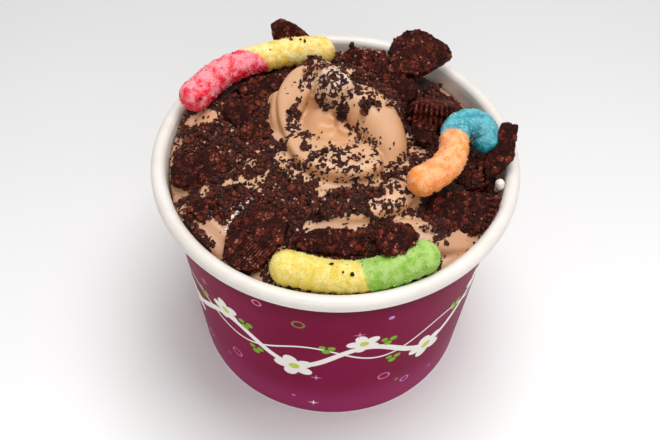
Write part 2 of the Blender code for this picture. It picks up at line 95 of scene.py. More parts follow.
def rowsOf(collection, key):
    flat = np.empty(len(collection) * 3, np.float32)
    collection.foreach_get(key, flat)
    return flat.reshape(-1, 3).astype(float)


def pointsOf(mesh):
    return rowsOf(mesh.vertices, "co") / mm


def normalsOf(mesh):
    return rowsOf(mesh.vertex_normals, "vector")


def setPoints(mesh, points):
    mesh.vertices.foreach_set("co", (points * mm).astype(np.float32).ravel())
    mesh.update()


def smoothStep(low, high, value):
    # 0 at low, 1 at high: three times the share squared less twice its cube
    t = np.clip((value - low) / (high - low), 0, 1)
    return t * t * (3 - 2 * t)


def stirred(key, extra=0):
    return (key ^ (key >> 13)) * hashTwist + extra


def fraction(key):
    # the low bits of a scrambled whole number, as 0 to 1
    return ((key ^ (key >> 16)) & 65535) / 65535


def latticeNoise(points, size, seed=0):
    # value noise: a random height at each corner of a cubic lattice, blended smoothly
    place = points / size + seed * 17.31
    cell = np.floor(place).astype(np.int64)
    t = place - cell
    t = t * t * (3 - 2 * t)
    total = np.zeros(len(points))
    for step in np.ndindex(2, 2, 2):
        value = fraction(stirred(np.bitwise_xor.reduce((cell + step) * hashPrimes, axis=1)))
        weight = np.where(step, t, 1 - t)
        total += value * weight[:, 0] * weight[:, 1] * weight[:, 2]
    return total * 2 - 1


def roughNoise(points, size, octaves, seed=0):
    # octaves of lattice noise, each half the size and half the height of the one before
    return sum(latticeNoise(points, size / 2 ** k, seed + k) / 2 ** k for k in range(octaves))


def cellNoise(points, size, seed=0):
    # jittered lattice cells: the distance to the nearest cell's middle, how much further the
    # second nearest is, and a random value for the nearest cell
    place = points / size + seed * 11.7
    base = np.floor(place).astype(np.int64)
    far = np.full(len(points), 9.0)
    nearest, second, tone = far, far, np.zeros(len(points))
    for step in np.ndindex(3, 3, 3):
        cell = base + np.array(step) - 1
        key = np.bitwise_xor.reduce(cell * hashPrimes, axis=1)
        draws = []
        for k in range(4):
            key = stirred(key, k)
            draws.append(fraction(key))
        gap = np.linalg.norm(place - cell - np.stack(draws[:3], 1), axis=1)
        closer = gap < nearest
        second = np.where(closer, nearest, np.minimum(second, gap))
        tone = np.where(closer, draws[3], tone)
        nearest = np.where(closer, gap, nearest)
    return nearest, second - nearest, tone


def ringGrid(rows, columns):
    # quads between closed rings, for points ordered ring by ring
    i, j = np.meshgrid(np.arange(rows - 1), np.arange(columns), indexing="ij")
    i, j = i.ravel() * columns, j.ravel()
    k = (j + 1) % columns
    return np.stack([i + j, i + k, i + columns + k, i + columns + j], 1)


def closedGrid(rows, columns):
    # a ring grid, closed by fans to two end points that come after the ring points
    j = np.arange(columns)
    k = (j + 1) % columns
    bottom, top, last = rows * columns, rows * columns + 1, (rows - 1) * columns
    return [ringGrid(rows, columns), np.stack([np.full(columns, bottom), k, j], 1),
            np.stack([last + j, last + k, np.full(columns, top)], 1)]


def turned(radius, height, columns):
    # a profile turned round Z: rows of radius and height become rings, with two end points
    angle = np.linspace(0, math.tau, columns, endpoint=False)
    radius, height = np.broadcast_to(radius, (len(radius), columns)), np.asarray(height)
    height = np.broadcast_to(height, (len(radius), columns))
    points = np.stack([radius * np.cos(angle), radius * np.sin(angle), height], -1)
    ends = [[0, 0, height[0, 0]], [0, 0, height[-1, 0]]]
    return np.vstack([points.reshape(-1, 3), ends]), closedGrid(len(radius), columns)


def splineThrough(points, count):
    # Catmull-Rom curve through rows of values, evenly stepped
    knots = np.asarray(points, float)
    knots = knots[:, None] if knots.ndim == 1 else knots
    padded = np.vstack([2 * knots[0] - knots[1], knots, 2 * knots[-1] - knots[-2]])
    s = np.linspace(0, len(knots) - 1, count)
    i = np.minimum(s.astype(int), len(knots) - 2)
    t = (s - i)[:, None]
    a, b, c, d = (padded[i + k] for k in range(4))
    return 0.5 * (2 * b + (c - a) * t + (2 * a - 5 * b + 4 * c - d) * t ** 2
                  + (3 * b - a - 3 * c + d) * t ** 3)


def strandSurface(path, width, height, columns, shape=None):
    # a ring carried along a path: its middle, plus half the width times the cosine sideways and
    # half the height times the sine upwards; shape(angle, along) scales it
    capRings, capFrom, capTo = 8, 84, 6         # each round end is rings on a quarter circle
    ahead = np.gradient(path, axis=0)
    ahead /= np.linalg.norm(ahead, axis=1)[:, None]
    side = np.cross(np.array([0.0, 0.0, 1.0]), ahead)
    side /= np.linalg.norm(side, axis=1)[:, None] + 1e-9
    over = np.cross(ahead, side)
    turn = np.radians(np.linspace(capFrom, capTo, capRings))
    shift = np.concatenate([-np.sin(turn), np.zeros(len(path)), np.sin(turn[::-1])])
    share = np.concatenate([np.cos(turn), np.ones(len(path)), np.cos(turn[::-1])])
    index = np.concatenate([np.zeros(capRings, int), np.arange(len(path)),
                            np.full(capRings, len(path) - 1)])
    angle = np.linspace(0, math.tau, columns, endpoint=False)
    along = index / (len(path) - 1)
    scale = np.ones((len(index), columns))
    if shape is not None:
        scale = shape(angle[None, :], along[:, None])
    across = (width[index] * share)[:, None] * scale * np.cos(angle)
    upward = (height[index] * share)[:, None] * scale * np.sin(angle)
    centre = path[index] + ahead[index] * (shift * height[index])[:, None]
    points = (centre[:, None] + side[index][:, None] * across[..., None]
              + over[index][:, None] * upward[..., None])
    ends = np.array([path[0] - ahead[0] * height[0], path[-1] + ahead[-1] * height[-1]])
    return (np.vstack([points.reshape(-1, 3), ends]), closedGrid(len(index), columns),
            np.concatenate([np.repeat(along, columns), [0, 1]]))


# shader maths: sockets as Python values

class Value:
    def __init__(self, tree, socket):
        self.tree, self.socket = tree, socket

    def node(self, kind, settings=None, inputs=None, output=0):
        made = self.tree.nodes.new("ShaderNode" + kind)
        for key, setting in (settings or {}).items():
            setattr(made, key, setting)
        for key, given in (inputs or {}).items():
            socket = made.inputs[key]
            if isinstance(given, Value):
                self.tree.links.new(given.socket, socket)
            else:
                socket.default_value = (*given, 1) if hasattr(given, "__len__") else given
        return Value(self.tree, made.outputs[output])

    def math(self, operation, *others):
        return self.node("Math", {"operation": operation}, dict(enumerate((self, *others))))

    def reflected(self, operation, other):
        return self.node("Math", {"operation": operation}, {0: other, 1: self})

    def __add__(self, other):
        return self.math("ADD", other)

    def __sub__(self, other):
        return self.math("SUBTRACT", other)

    def __rsub__(self, other):
        return self.reflected("SUBTRACT", other)

    def __mul__(self, other):
        return self.math("MULTIPLY", other)

    def __truediv__(self, other):
        return self.math("DIVIDE", other)

    def __rtruediv__(self, other):
        return self.reflected("DIVIDE", other)

    def __pow__(self, other):
        return self.math("POWER", other)

    def __rpow__(self, other):
        return self.reflected("POWER", other)

    __radd__, __rmul__ = __add__, __mul__

    def between(self, low, high, first=0.0, second=1.0):
        # the first number below low, the second above high, smooth between
        return self.node("MapRange", {"interpolation_type": "SMOOTHSTEP"},
                         {"Value": self, "From Min": low, "From Max": high,
                          "To Min": first, "To Max": second})

    def below(self, low, high):
        return self.between(low, high, 1.0, 0.0)

    def blend(self, first, second):
        # mixes two colours by this value
        return self.node("Mix", {"data_type": "RGBA", "clamp_factor": True},
                         {0: self, 6: first, 7: second}, 2)


class Paint:
    # one material: its tree, its coordinates and its shader
    def __init__(self, name, **constants):
        self.material = bpy.data.materials.new(name)
        self.material.use_nodes = True
        self.tree = self.material.node_tree
        self.shader = self.tree.nodes["Principled BSDF"]
        self.node = Value(self.tree, None).node
        for key, value in constants.items():
            self.shader.inputs[key.replace("_", " ")].default_value = value
        # the object's own coordinates, in millimetres
        self.place = self.node("VectorMath", {"operation": "SCALE"},
                               {0: self.node("TexCoord", output=3), "Scale": 1 / mm})

    def parts(self, vector):
        return [self.node("SeparateXYZ", None, {0: vector}, k) for k in range(3)]

    def attribute(self, name):
        return self.node("Attribute", {"attribute_name": name}, None, 2)

    def noise(self, size, detail=4.0, roughness=0.55):
        return self.node("TexNoise", None, {"Vector": self.place, "Scale": 1 / size,
                                            "Detail": detail, "Roughness": roughness})

    def cells(self, size, feature="F1", output=0):
        return self.node("TexVoronoi", {"feature": feature},
                         {"Vector": self.place, "Scale": 1 / size}, output)

    def bump(self, height, distance, strength, under=None):
        inputs = {"Height": height, "Distance": distance * mm, "Strength": strength}
        if under:
            inputs["Normal"] = under
        return self.node("Bump", None, inputs)

    def finish(self, colour, roughness, normal):
        for key, value in (("Base Color", colour), ("Roughness", roughness), ("Normal", normal)):
            self.tree.links.new(value.socket, self.shader.inputs[key])
        return self.material


def srgb(red, green, blue):
    # a colour given as 0 to 255 screen values
    return tuple(((v / 255 + 0.055) / 1.055) ** 2.4 if v > 10 else v / 255 / 12.92
                 for v in (red, green, blue))


# small solids copied many times

def solidOf(kind):
    # an octahedron, a cube or an icosahedron
    mesh = bmesh.new()
    if kind == "octa":
        points = [(1, 0, 0), (-1, 0, 0), (0, 1, 0), (0, -1, 0), (0, 0, 1), (0, 0, -1)]
        verts = [mesh.verts.new(point) for point in points]
        for a, b, c in np.ndindex(2, 2, 2):
            mesh.faces.new([verts[k] for k in (a, b + 2, c + 4)])
        bmesh.ops.recalc_face_normals(mesh, faces=mesh.faces)
    elif kind == "cube":
        bmesh.ops.create_cube(mesh, size=1.6)
    else:
        bmesh.ops.create_icosphere(mesh, subdivisions=1, radius=1.0)
    points = np.array([tuple(vert.co) for vert in mesh.verts])
    faces = np.array([[vert.index for vert in face.verts] for face in mesh.faces])
    mesh.free()
    return points, faces


def turns(rng, count):
    # random rotations from random unit quaternions
    q = rng.normal(size=(count, 4))
    q /= np.linalg.norm(q, axis=1)[:, None]
    w, x, y, z = q.T
    rows = [[1 - 2 * (y * y + z * z), 2 * (x * y - w * z), 2 * (x * z + w * y)],
            [2 * (x * y + w * z), 1 - 2 * (x * x + z * z), 2 * (y * z - w * x)],
            [2 * (x * z - w * y), 2 * (y * z + w * x), 1 - 2 * (x * x + y * y)]]
    return np.stack([np.stack(row, -1) for row in rows], 1)


def scattered(name, place, size, kind, rng, slot, material, flatten, jitter, tintTop=1.0):
    # a solid copied to every place: each copy stretched, dented, turned and tinted in its own way
    points, faces = solidOf(kind)
    stretch = rng.uniform(flatten[0], flatten[1], (len(place), 1, 3))
    dent = 1 + rng.uniform(-jitter, jitter, (len(place), len(points), 1))
    copies = points[None] * stretch * dent * size[:, None, None]
    copies = np.einsum("nij,nvj->nvi", turns(rng, len(place)), copies) + place[:, None]
    index = faces[None] + (np.arange(len(place)) * len(points))[:, None, None]
    piece = newPiece(name, copies.reshape(-1, 3), index.reshape(-1, 3), slot, [material],
                     smooth=False)
    addValues(piece, tint=np.repeat(rng.random(len(place)) * tintTop, len(points)))
    return piece


# the paper tub

tub = {
    "columns": 256,
    "rollRadius": 2.34,         # of the rolled rim
    "rollTurn": (236, 520),     # the angles between which it is rolled
    "footRadius": 46.5,
    "wallTop": 51.8,            # outer radius under the rolled rim
    "wallStart": 0.5,           # height where the wall starts above the foot
    "board": 0.7,
    "recess": 3.5,              # height of the floor's underside
    "footWall": 1.3,
    "floor": 1.0,
    "floorRings": (8, 25, 40),  # radii of the rings across the floor
    "edge": 0.3,                # of the foot's soft edges
    "innerTop": 4.2,            # the inner wall starts this far below the rim
    "lap": 0.22,                # thickness of the glued side lap, at the back
    "lapHalf": 4.0,
    "lapEdge": 0.35,
    "lapFade": 0.15,            # share of its thickness left at the rim
    "rows": {"wall": 34, "roll": 30, "inner": 24},
}
design = {                      # the print, laid out on millimetres round the wall and height
    "radius": 49.2,
    "topFade": (60.0, 75.2),    # painted shadow under the rolled rim: the ground darkens between these heights
    "footFade": (3, 25),        # and is paler below these
    "waves": 7,                 # bends of the wavy band round the tub
    "wide": (6.4, 40.5, 0.0, 1.25),         # rise, height, shift and half width
    "narrow": (4.2, 43.0, 2.4, 0.42),
    "daisies": ((0.25, 33.0, 6.8), (0.77, 49.5, 5.4)),          # share of a wave, height, size
    "berries": ((0.54, 35.5), (0.02, 47.0), (0.60, 48.5)),      # share of a wave, height
    "berry": ((-1.5, 0.6, 1.15), (1.3, 1.0, 1.0), (0.1, -1.5, 1.25)),
    # period, offset, height, then the radius, and the ink
    "rings": ((61.8, 9, 60.5, 1.7, "olive"), (51.5, 33, 23.5, 1.9, "rose"),
              (77.3, 50, 14.5, 1.5, "violet"), (77.3, 21, 66.0, 1.3, "rose")),
    "dots": ((77.3, 60, 62.5, 0.9, "violet"), (61.8, 38, 17.0, 0.8, "olive"),
             (51.5, 12, 10.5, 0.7, "rose")),
    "crosses": ((51.5, 43, 55.5, "rose"), (61.8, 4, 27.0, "violet"), (77.3, 5, 7.5, "white")),
}
inks = {
    "white": srgb(240, 236, 230), "rose": srgb(214, 120, 168), "violet": srgb(196, 140, 206),
    "leaf": srgb(120, 178, 42), "olive": srgb(128, 134, 66), "heart": srgb(198, 206, 84),
    "ground": srgb(119, 4, 53), "groundPale": srgb(129, 9, 63), "groundTop": srgb(84, 12, 36),
    "groundFoot": srgb(152, 42, 94),
}


def innerWall(height):
    # the radius inside the wall: the foot's, plus the slope times the height, less the board
    slope = (tub["wallTop"] - tub["footRadius"]) / (rimHeight - 2 * tub["rollRadius"])
    return tub["footRadius"] + slope * height - tub["board"]


def paintPrint():
    paint = Paint("printedBoard", Specular_IOR_Level=0.03)
    x, y, z = paint.parts(paint.place)
    arc = x.math("ARCTAN2", y * -1) * design["radius"]      # round the wall from the front
    period = math.tau * design["radius"] / design["waves"]

    def repeated(step, offset):
        # signed distance along the arc to the nearest copy of a motif
        return (arc + (offset + step * 100.5)).math("MODULO", step) - step / 2

    def length(u, v):
        return (u * u + v * v) ** 0.5

    def disc(u, v, radius, edge=0.16):
        return length(u, v).below(radius - edge, radius + edge)

    def ring(u, v, radius, half=0.28, edge=0.14):
        return (length(u, v) - radius).math("ABSOLUTE").below(half - edge, half + edge)

    def wave(rise, level, shift, half, edge=0.13):
        # a band of even width along a sine: the distance is divided by the slope's length
        turn = arc * (math.tau / period) + shift
        slope = turn.math("COSINE") * (rise * math.tau / period)
        gap = (z - (turn.math("SINE") * rise + level)).math("ABSOLUTE")
        return (gap / ((slope * slope + 1) ** 0.5)).below(half - edge, half + edge)

    def petals(u, v, size, edge=0.16):
        # five round petals: the reach swings with the sine of two and a half times the angle
        swing = (v.math("ARCTAN2", u) * 2.5).math("SINE").math("ABSOLUTE")
        return (length(u, v) - (swing * (0.42 * size) + 0.56 * size)).below(-edge, edge)

    colour = paint.noise(22, 2).between(0.3, 0.7).blend(inks["ground"], inks["groundPale"])
    # painted shadow: the ground darker just under the rolled rim
    colour = z.between(*design["topFade"]).blend(colour, inks["groundTop"])
    colour = z.below(*design["footFade"]).blend(colour, inks["groundFoot"])
    colour = wave(*design["wide"]).blend(colour, inks["white"])
    colour = wave(*design["narrow"]).blend(colour, inks["white"])
    for share, height, size in design["daisies"]:
        u, v = repeated(period, period * share), z - height
        colour = petals(u, v, size).blend(colour, inks["white"])
        colour = disc(u, v, 0.26 * size).blend(colour, inks["heart"])
    for share, height in design["berries"]:
        for du, dv, radius in design["berry"]:
            berry = disc(repeated(period, period * share) + du, z - (height + dv), radius)
            colour = berry.blend(colour, inks["leaf"])
    for step, offset, height, radius, ink in design["rings"]:
        colour = ring(repeated(step, offset), z - height, radius).blend(colour, inks[ink])
    for step, offset, height, radius, ink in design["dots"]:
        colour = disc(repeated(step, offset), z - height, radius).blend(colour, inks[ink])
    for step, offset, height, ink in design["crosses"]:
        u, v = repeated(step, offset).math("ABSOLUTE"), (z - height).math("ABSOLUTE")
        cross = (u * v).below(0.10, 0.22) * length(u, v).below(1.7, 1.9)
        colour = cross.blend(colour, inks[ink])
    return paint.finish(colour, paint.noise(0.9, 3) * 0.10 + 0.34,
                        paint.bump(paint.noise(2.2, 5), 0.05, 0.35))


def paintBoard():
    # bare white board: the rolled rim, the inside and the foot
    paint = Paint("whiteBoard", Specular_IOR_Level=0.5, Coat_Weight=0.25, Coat_Roughness=0.25)
    tint = paint.noise(14, 3).between(0.35, 0.7)
    return paint.finish(tint.blend(srgb(230, 224, 217), srgb(220, 213, 205)),
                        paint.noise(1.1, 3) * 0.12 + 0.38,
                        paint.bump(paint.noise(1.4, 4), 0.06, 0.3))


def buildTub():
    # a profile turned round Z: underside, foot, outer wall, rolled rim, inner wall, floor
    roll, foot, edge, rows = tub["rollRadius"], tub["footRadius"], tub["edge"], tub["rows"]
    recess, inset, floor = tub["recess"], foot - tub["footWall"], tub["recess"] + tub["floor"]
    part, start = np.linspace(0, 1, rows["wall"]), tub["wallStart"]
    outer = np.stack([foot + part * (tub["wallTop"] - foot),
                      start + part * (rimHeight - 2 * roll - start)], 1)
    ring = np.array([[inset, recess], [inset, edge + 0.1], [inset + edge, 0.0],
                     [foot - edge, 0.0], [foot - 0.02, edge]])
    turn = np.radians(np.linspace(*tub["rollTurn"], rows["roll"]))
    middle = np.array([rimRadius - roll, rimHeight - roll])
    rim = middle + roll * np.stack([np.cos(turn), np.sin(turn)], 1)
    down = np.linspace(rimHeight - tub["innerTop"], floor, rows["inner"])
    inner = np.stack([innerWall(down), down], 1)
    disc = np.array([[r, floor] for r in tub["floorRings"][::-1]])
    under = np.array([[r, recess] for r in tub["floorRings"]])
    profile = np.vstack([under, ring, outer, rim, inner, disc])
    angle = np.linspace(0, math.tau, tub["columns"], endpoint=False)
    radius = np.repeat(profile[:, :1], len(angle), 1)
    # the side seam: the outer board laps over itself at the back, and fades out at the rim
    back = np.abs((angle - math.radians(90) + math.pi) % math.tau - math.pi) * foot
    lap = tub["lap"] * smoothStep(tub["lapHalf"] + tub["lapEdge"], tub["lapHalf"], back)
    first = len(under) + len(ring)
    lapped = slice(first - 1, first + len(outer) + len(rim) - 4)
    fade = np.linspace(1, tub["lapFade"], lapped.stop - lapped.start)
    radius[lapped] += lap[None, :] * fade[:, None]
    radius = np.minimum(radius, rimRadius)
    points, faces = turned(radius, profile[:, 1:], tub["columns"])
    piece = newPiece("paperTub", points, faces, "cup", [paintPrint(), paintBoard()], ["cup"])
    # the print covers the outer wall only
    row = np.arange(len(profile) - 1).repeat(len(angle))
    bare = np.ones(len(piece.data.polygons), np.int32)
    bare[:len(row)] = ~((row >= first - 1) & (row < first - 1 + len(outer)))
    piece.data.polygons.foreach_set("material_index", bare)


print("tub")
buildTub()


# the yogurt: a mound with folded strands of soft serve, remeshed into one skin

yogurt = {
    "shore": 75.7,              # height at the wall
    "shoreTilt": 1.9,
    "shoreBulge": (0.8, 0.6),   # rise and turn
    "shoulder": (50.5, 41.0, 4.5),          # from and to this far from the middle, and its rise
    "mound": (42.0, 20.0, 4.0),
    "ripple": (50.5, 44.0, 0.6, 0.26),      # from, to, rise and twist
    "core": (17.0, 17.0 / 3, 6.6),
    "coreCentre": (0.0, 2.0),
    "skinBottom": 71.0,         # the remeshed skin starts here; below it the fill is plain
    "edgeHeight": 76.0,
    "edgeDrop": 0.9,
    "edgeCalm": (0.6, 1.6),     # the relief fades out between these distances from the wall
    "edgeGap": 0.06,            # the skin stays this far inside the wall
    "wallGap": 0.5,
    "voxel": 0.5,
    "flutes": 5,
    "fluteDepth": 0.08,
    "strandSteps": 60,
    "strandColumns": 40,
    "tipCentre": (-1.2, 8.6, 98.0),
    "tipFade": (7.44, 5.58),    # finer crumbs and a paler skin, a painted highlight, within this distance
    "hollowCentre": (-2.0, -1.0, 88.0),     # painted shade: the hollow under the tip, shaded by it, gets no painted light and keeps a deeper colour
    "hollowReach": 6.0,
    "fillHeights": (5.0, 25.0, 45.0, 73.0),
    "fillColumns": 96,
    "moundColumns": 120,
    "moundRings": (12, 60),     # of the underside and of the top
}
yogurtStrands = {               # rows of x, y, z, half width and half height
    "swirlUnder": [(-18.0, 5.0, 82.5, 4.0, 4.0), (-17.2, -2.0, 82.8, 4.4, 4.4),
        (-14.0, -8.5, 82.6, 4.8, 4.6), (-7.0, -13.8, 82.0, 5.2, 4.6),
        (3.0, -16.6, 81.4, 5.4, 4.8), (10.0, -15.6, 81.6, 4.8, 4.4),
        (15.0, -13.0, 81.0, 3.6, 3.6)],
    "swirlLedge": [(-12.4, 1.0, 86.6, 2.6, 2.8), (-11.2, -4.2, 86.8, 3.8, 3.4),
        (-6.8, -9.0, 86.8, 5.4, 3.8), (0.0, -11.2, 86.6, 6.4, 4.0), (6.0, -11.2, 86.4, 6.4, 4.0),
        (9.6, -10.0, 86.2, 5.8, 4.0)],
    "swirlLobe": [(16.0, -7.0, 82.6, 4.4, 4.4), (15.4, -3.0, 85.2, 5.8, 5.6),
        (13.2, 1.4, 87.6, 6.8, 6.4), (10.2, 5.0, 89.8, 7.3, 6.8), (6.6, 7.8, 91.6, 6.8, 6.6),
        (3.0, 9.2, 93.6, 5.0, 5.0)],
    "swirlRibbon": [(-13.4, -1.2, 86.4, 2.2, 3.2), (-14.2, 4.0, 89.2, 3.4, 3.2),
        (-13.4, 9.0, 92.4, 4.6, 3.2), (-10.6, 13.4, 95.2, 4.8, 3.0),
        (-7.8, 17.2, 97.2, 2.8, 2.2)],
    "swirlRibbonSide": [(-16.6, 1.0, 84.0, 2.8, 2.8), (-17.8, 6.0, 86.4, 3.4, 3.4),
        (-17.4, 11.0, 89.0, 3.6, 3.6)],
    "swirlBack": [(-13.0, 13.0, 84.0, 6.0, 6.0), (-5.0, 18.0, 86.5, 8.0, 8.0),
        (5.0, 17.6, 86.5, 7.8, 7.8), (13.5, 11.0, 86.0, 6.4, 6.4)],
    "swirlSlope": [(-7.0, 3.0, 84.6, 4.6, 4.6), (-1.0, 1.6, 84.6, 5.6, 5.6),
        (5.0, 0.0, 84.0, 4.6, 4.6)],
    "swirlBump": [(-8.0, 3.0, 89.4, 1.6, 1.4), (-6.8, 2.8, 89.8, 1.7, 1.5)],
    "swirlTip": [(-3.6, 8.6, 88.0, 6.0, 6.0), (-1.6, 9.2, 92.0, 5.9, 5.9),
        (-1.0, 9.6, 96.8, 5.8, 5.8)],
    "swirlCrest": [(-2.2, 11.8, 97.2, 4.6, 4.6), (-5.0, 15.4, 98.2, 3.4, 3.4),
        (-7.8, 19.0, 98.8, 1.4, 1.4)],
    "lowerCoil": [(-23.0, -6.0, 79.5, 5.5, 5.5), (-18.5, -16.0, 79.5, 6.2, 6.2),
        (-8.5, -22.5, 79.5, 6.6, 6.6), (5.0, -23.5, 79.5, 6.6, 6.6),
        (16.5, -19.0, 80.0, 6.4, 6.4), (23.0, -9.0, 80.0, 5.5, 5.5)],
    "leftFold": [(-44.0, -17.0, 73.5, 4.0, 4.0), (-40.5, -23.0, 74.5, 5.0, 5.0),
        (-34.5, -30.0, 75.0, 5.5, 5.5), (-26.5, -37.5, 73.5, 4.2, 4.2)],
    "leftShore": [(-45.0, 6.0, 75.0, 4.2, 4.2), (-43.0, 15.0, 76.5, 5.6, 5.6),
        (-35.0, 26.5, 77.5, 5.6, 5.6), (-22.0, 36.0, 77.5, 4.5, 4.5)],
    "rightFold": [(20.0, -29.0, 77.5, 4.5, 4.5), (27.0, -31.0, 77.0, 5.6, 5.6),
        (36.0, -30.0, 74.5, 4.2, 4.2)],
    "rightShore": [(32.0, -37.5, 72.5, 3.6, 3.6), (40.0, -29.0, 73.0, 4.2, 4.2),
        (45.0, -19.0, 72.5, 3.6, 3.6)],
}
squareStrands = ("swirlRibbon", "swirlLedge")     # folded flat, so their section is nearly square
roundStrands = ("swirlLobe",)                     # pressed smooth, so it has no flutes
carpet = {                      # the crumbs that cover the yogurt
    "share": 0.93,
    "wall": (47.6, 50.4, 0.5),  # it thins between these distances from the middle, by this much
    "ragged": (2.4, 0.22),      # size and depth of the spots' ragged edges
    "edge": (1.25, 0.85, 1.0),  # a spot fades between these shares of its reach, ragged by this
    "bare": 0.05,               # a spot with no more than this is wider and softer
    "bareEdge": (1.75, 1.35, 0.6),
    "flakes": (1.5, 0.85),      # sizes of the flakes; the tip has only the second
    "flakeRagged": (0.45, 0.10),            # size and depth of the flakes' ragged edges
    "flakeReach": (0.30, 0.5),  # of its cell, and how much the share adds
    "flakeChance": 1.06,        # of a cell to have a flake, times the share
    "flakeSoft": (0.06, 0.03),  # how softly its edge and its chance step
    "slide": (-0.6, 0.0),       # they slide off where the slope faces down this much
    "thick": (0.55, 0.95),      # crumbs heap up between these shares
    "relief": (0.10, 0.35, 0.75, 2.6),      # of any crumb, of heaps, their roughness and its size
    "ripples": (0.10, 4.0),     # of bare yogurt: depth and size
}


def moundHeight(x, y):
    # shore at the wall, a rounded shoulder, a low dome, and a core that fills the swirl
    reach, turn = np.hypot(x, y), np.arctan2(y, x)
    height = yogurt["shore"] - yogurt["shoreTilt"] * np.cos(turn)
    bulge, shift = yogurt["shoreBulge"]
    height = height - bulge * np.sin(2 * turn + shift)
    for key in ("shoulder", "mound"):
        start, end, rise = yogurt[key]
        height += rise * smoothStep(start, end, reach)
    fromCore = np.hypot(x - yogurt["coreCentre"][0], y - yogurt["coreCentre"][1])
    start, end, rise = yogurt["core"]
    height += rise * smoothStep(start, end, fromCore)
    start, end, rise, twist = yogurt["ripple"]
    return height + np.sin(3 * turn + reach * twist) * rise * smoothStep(start, end, reach)


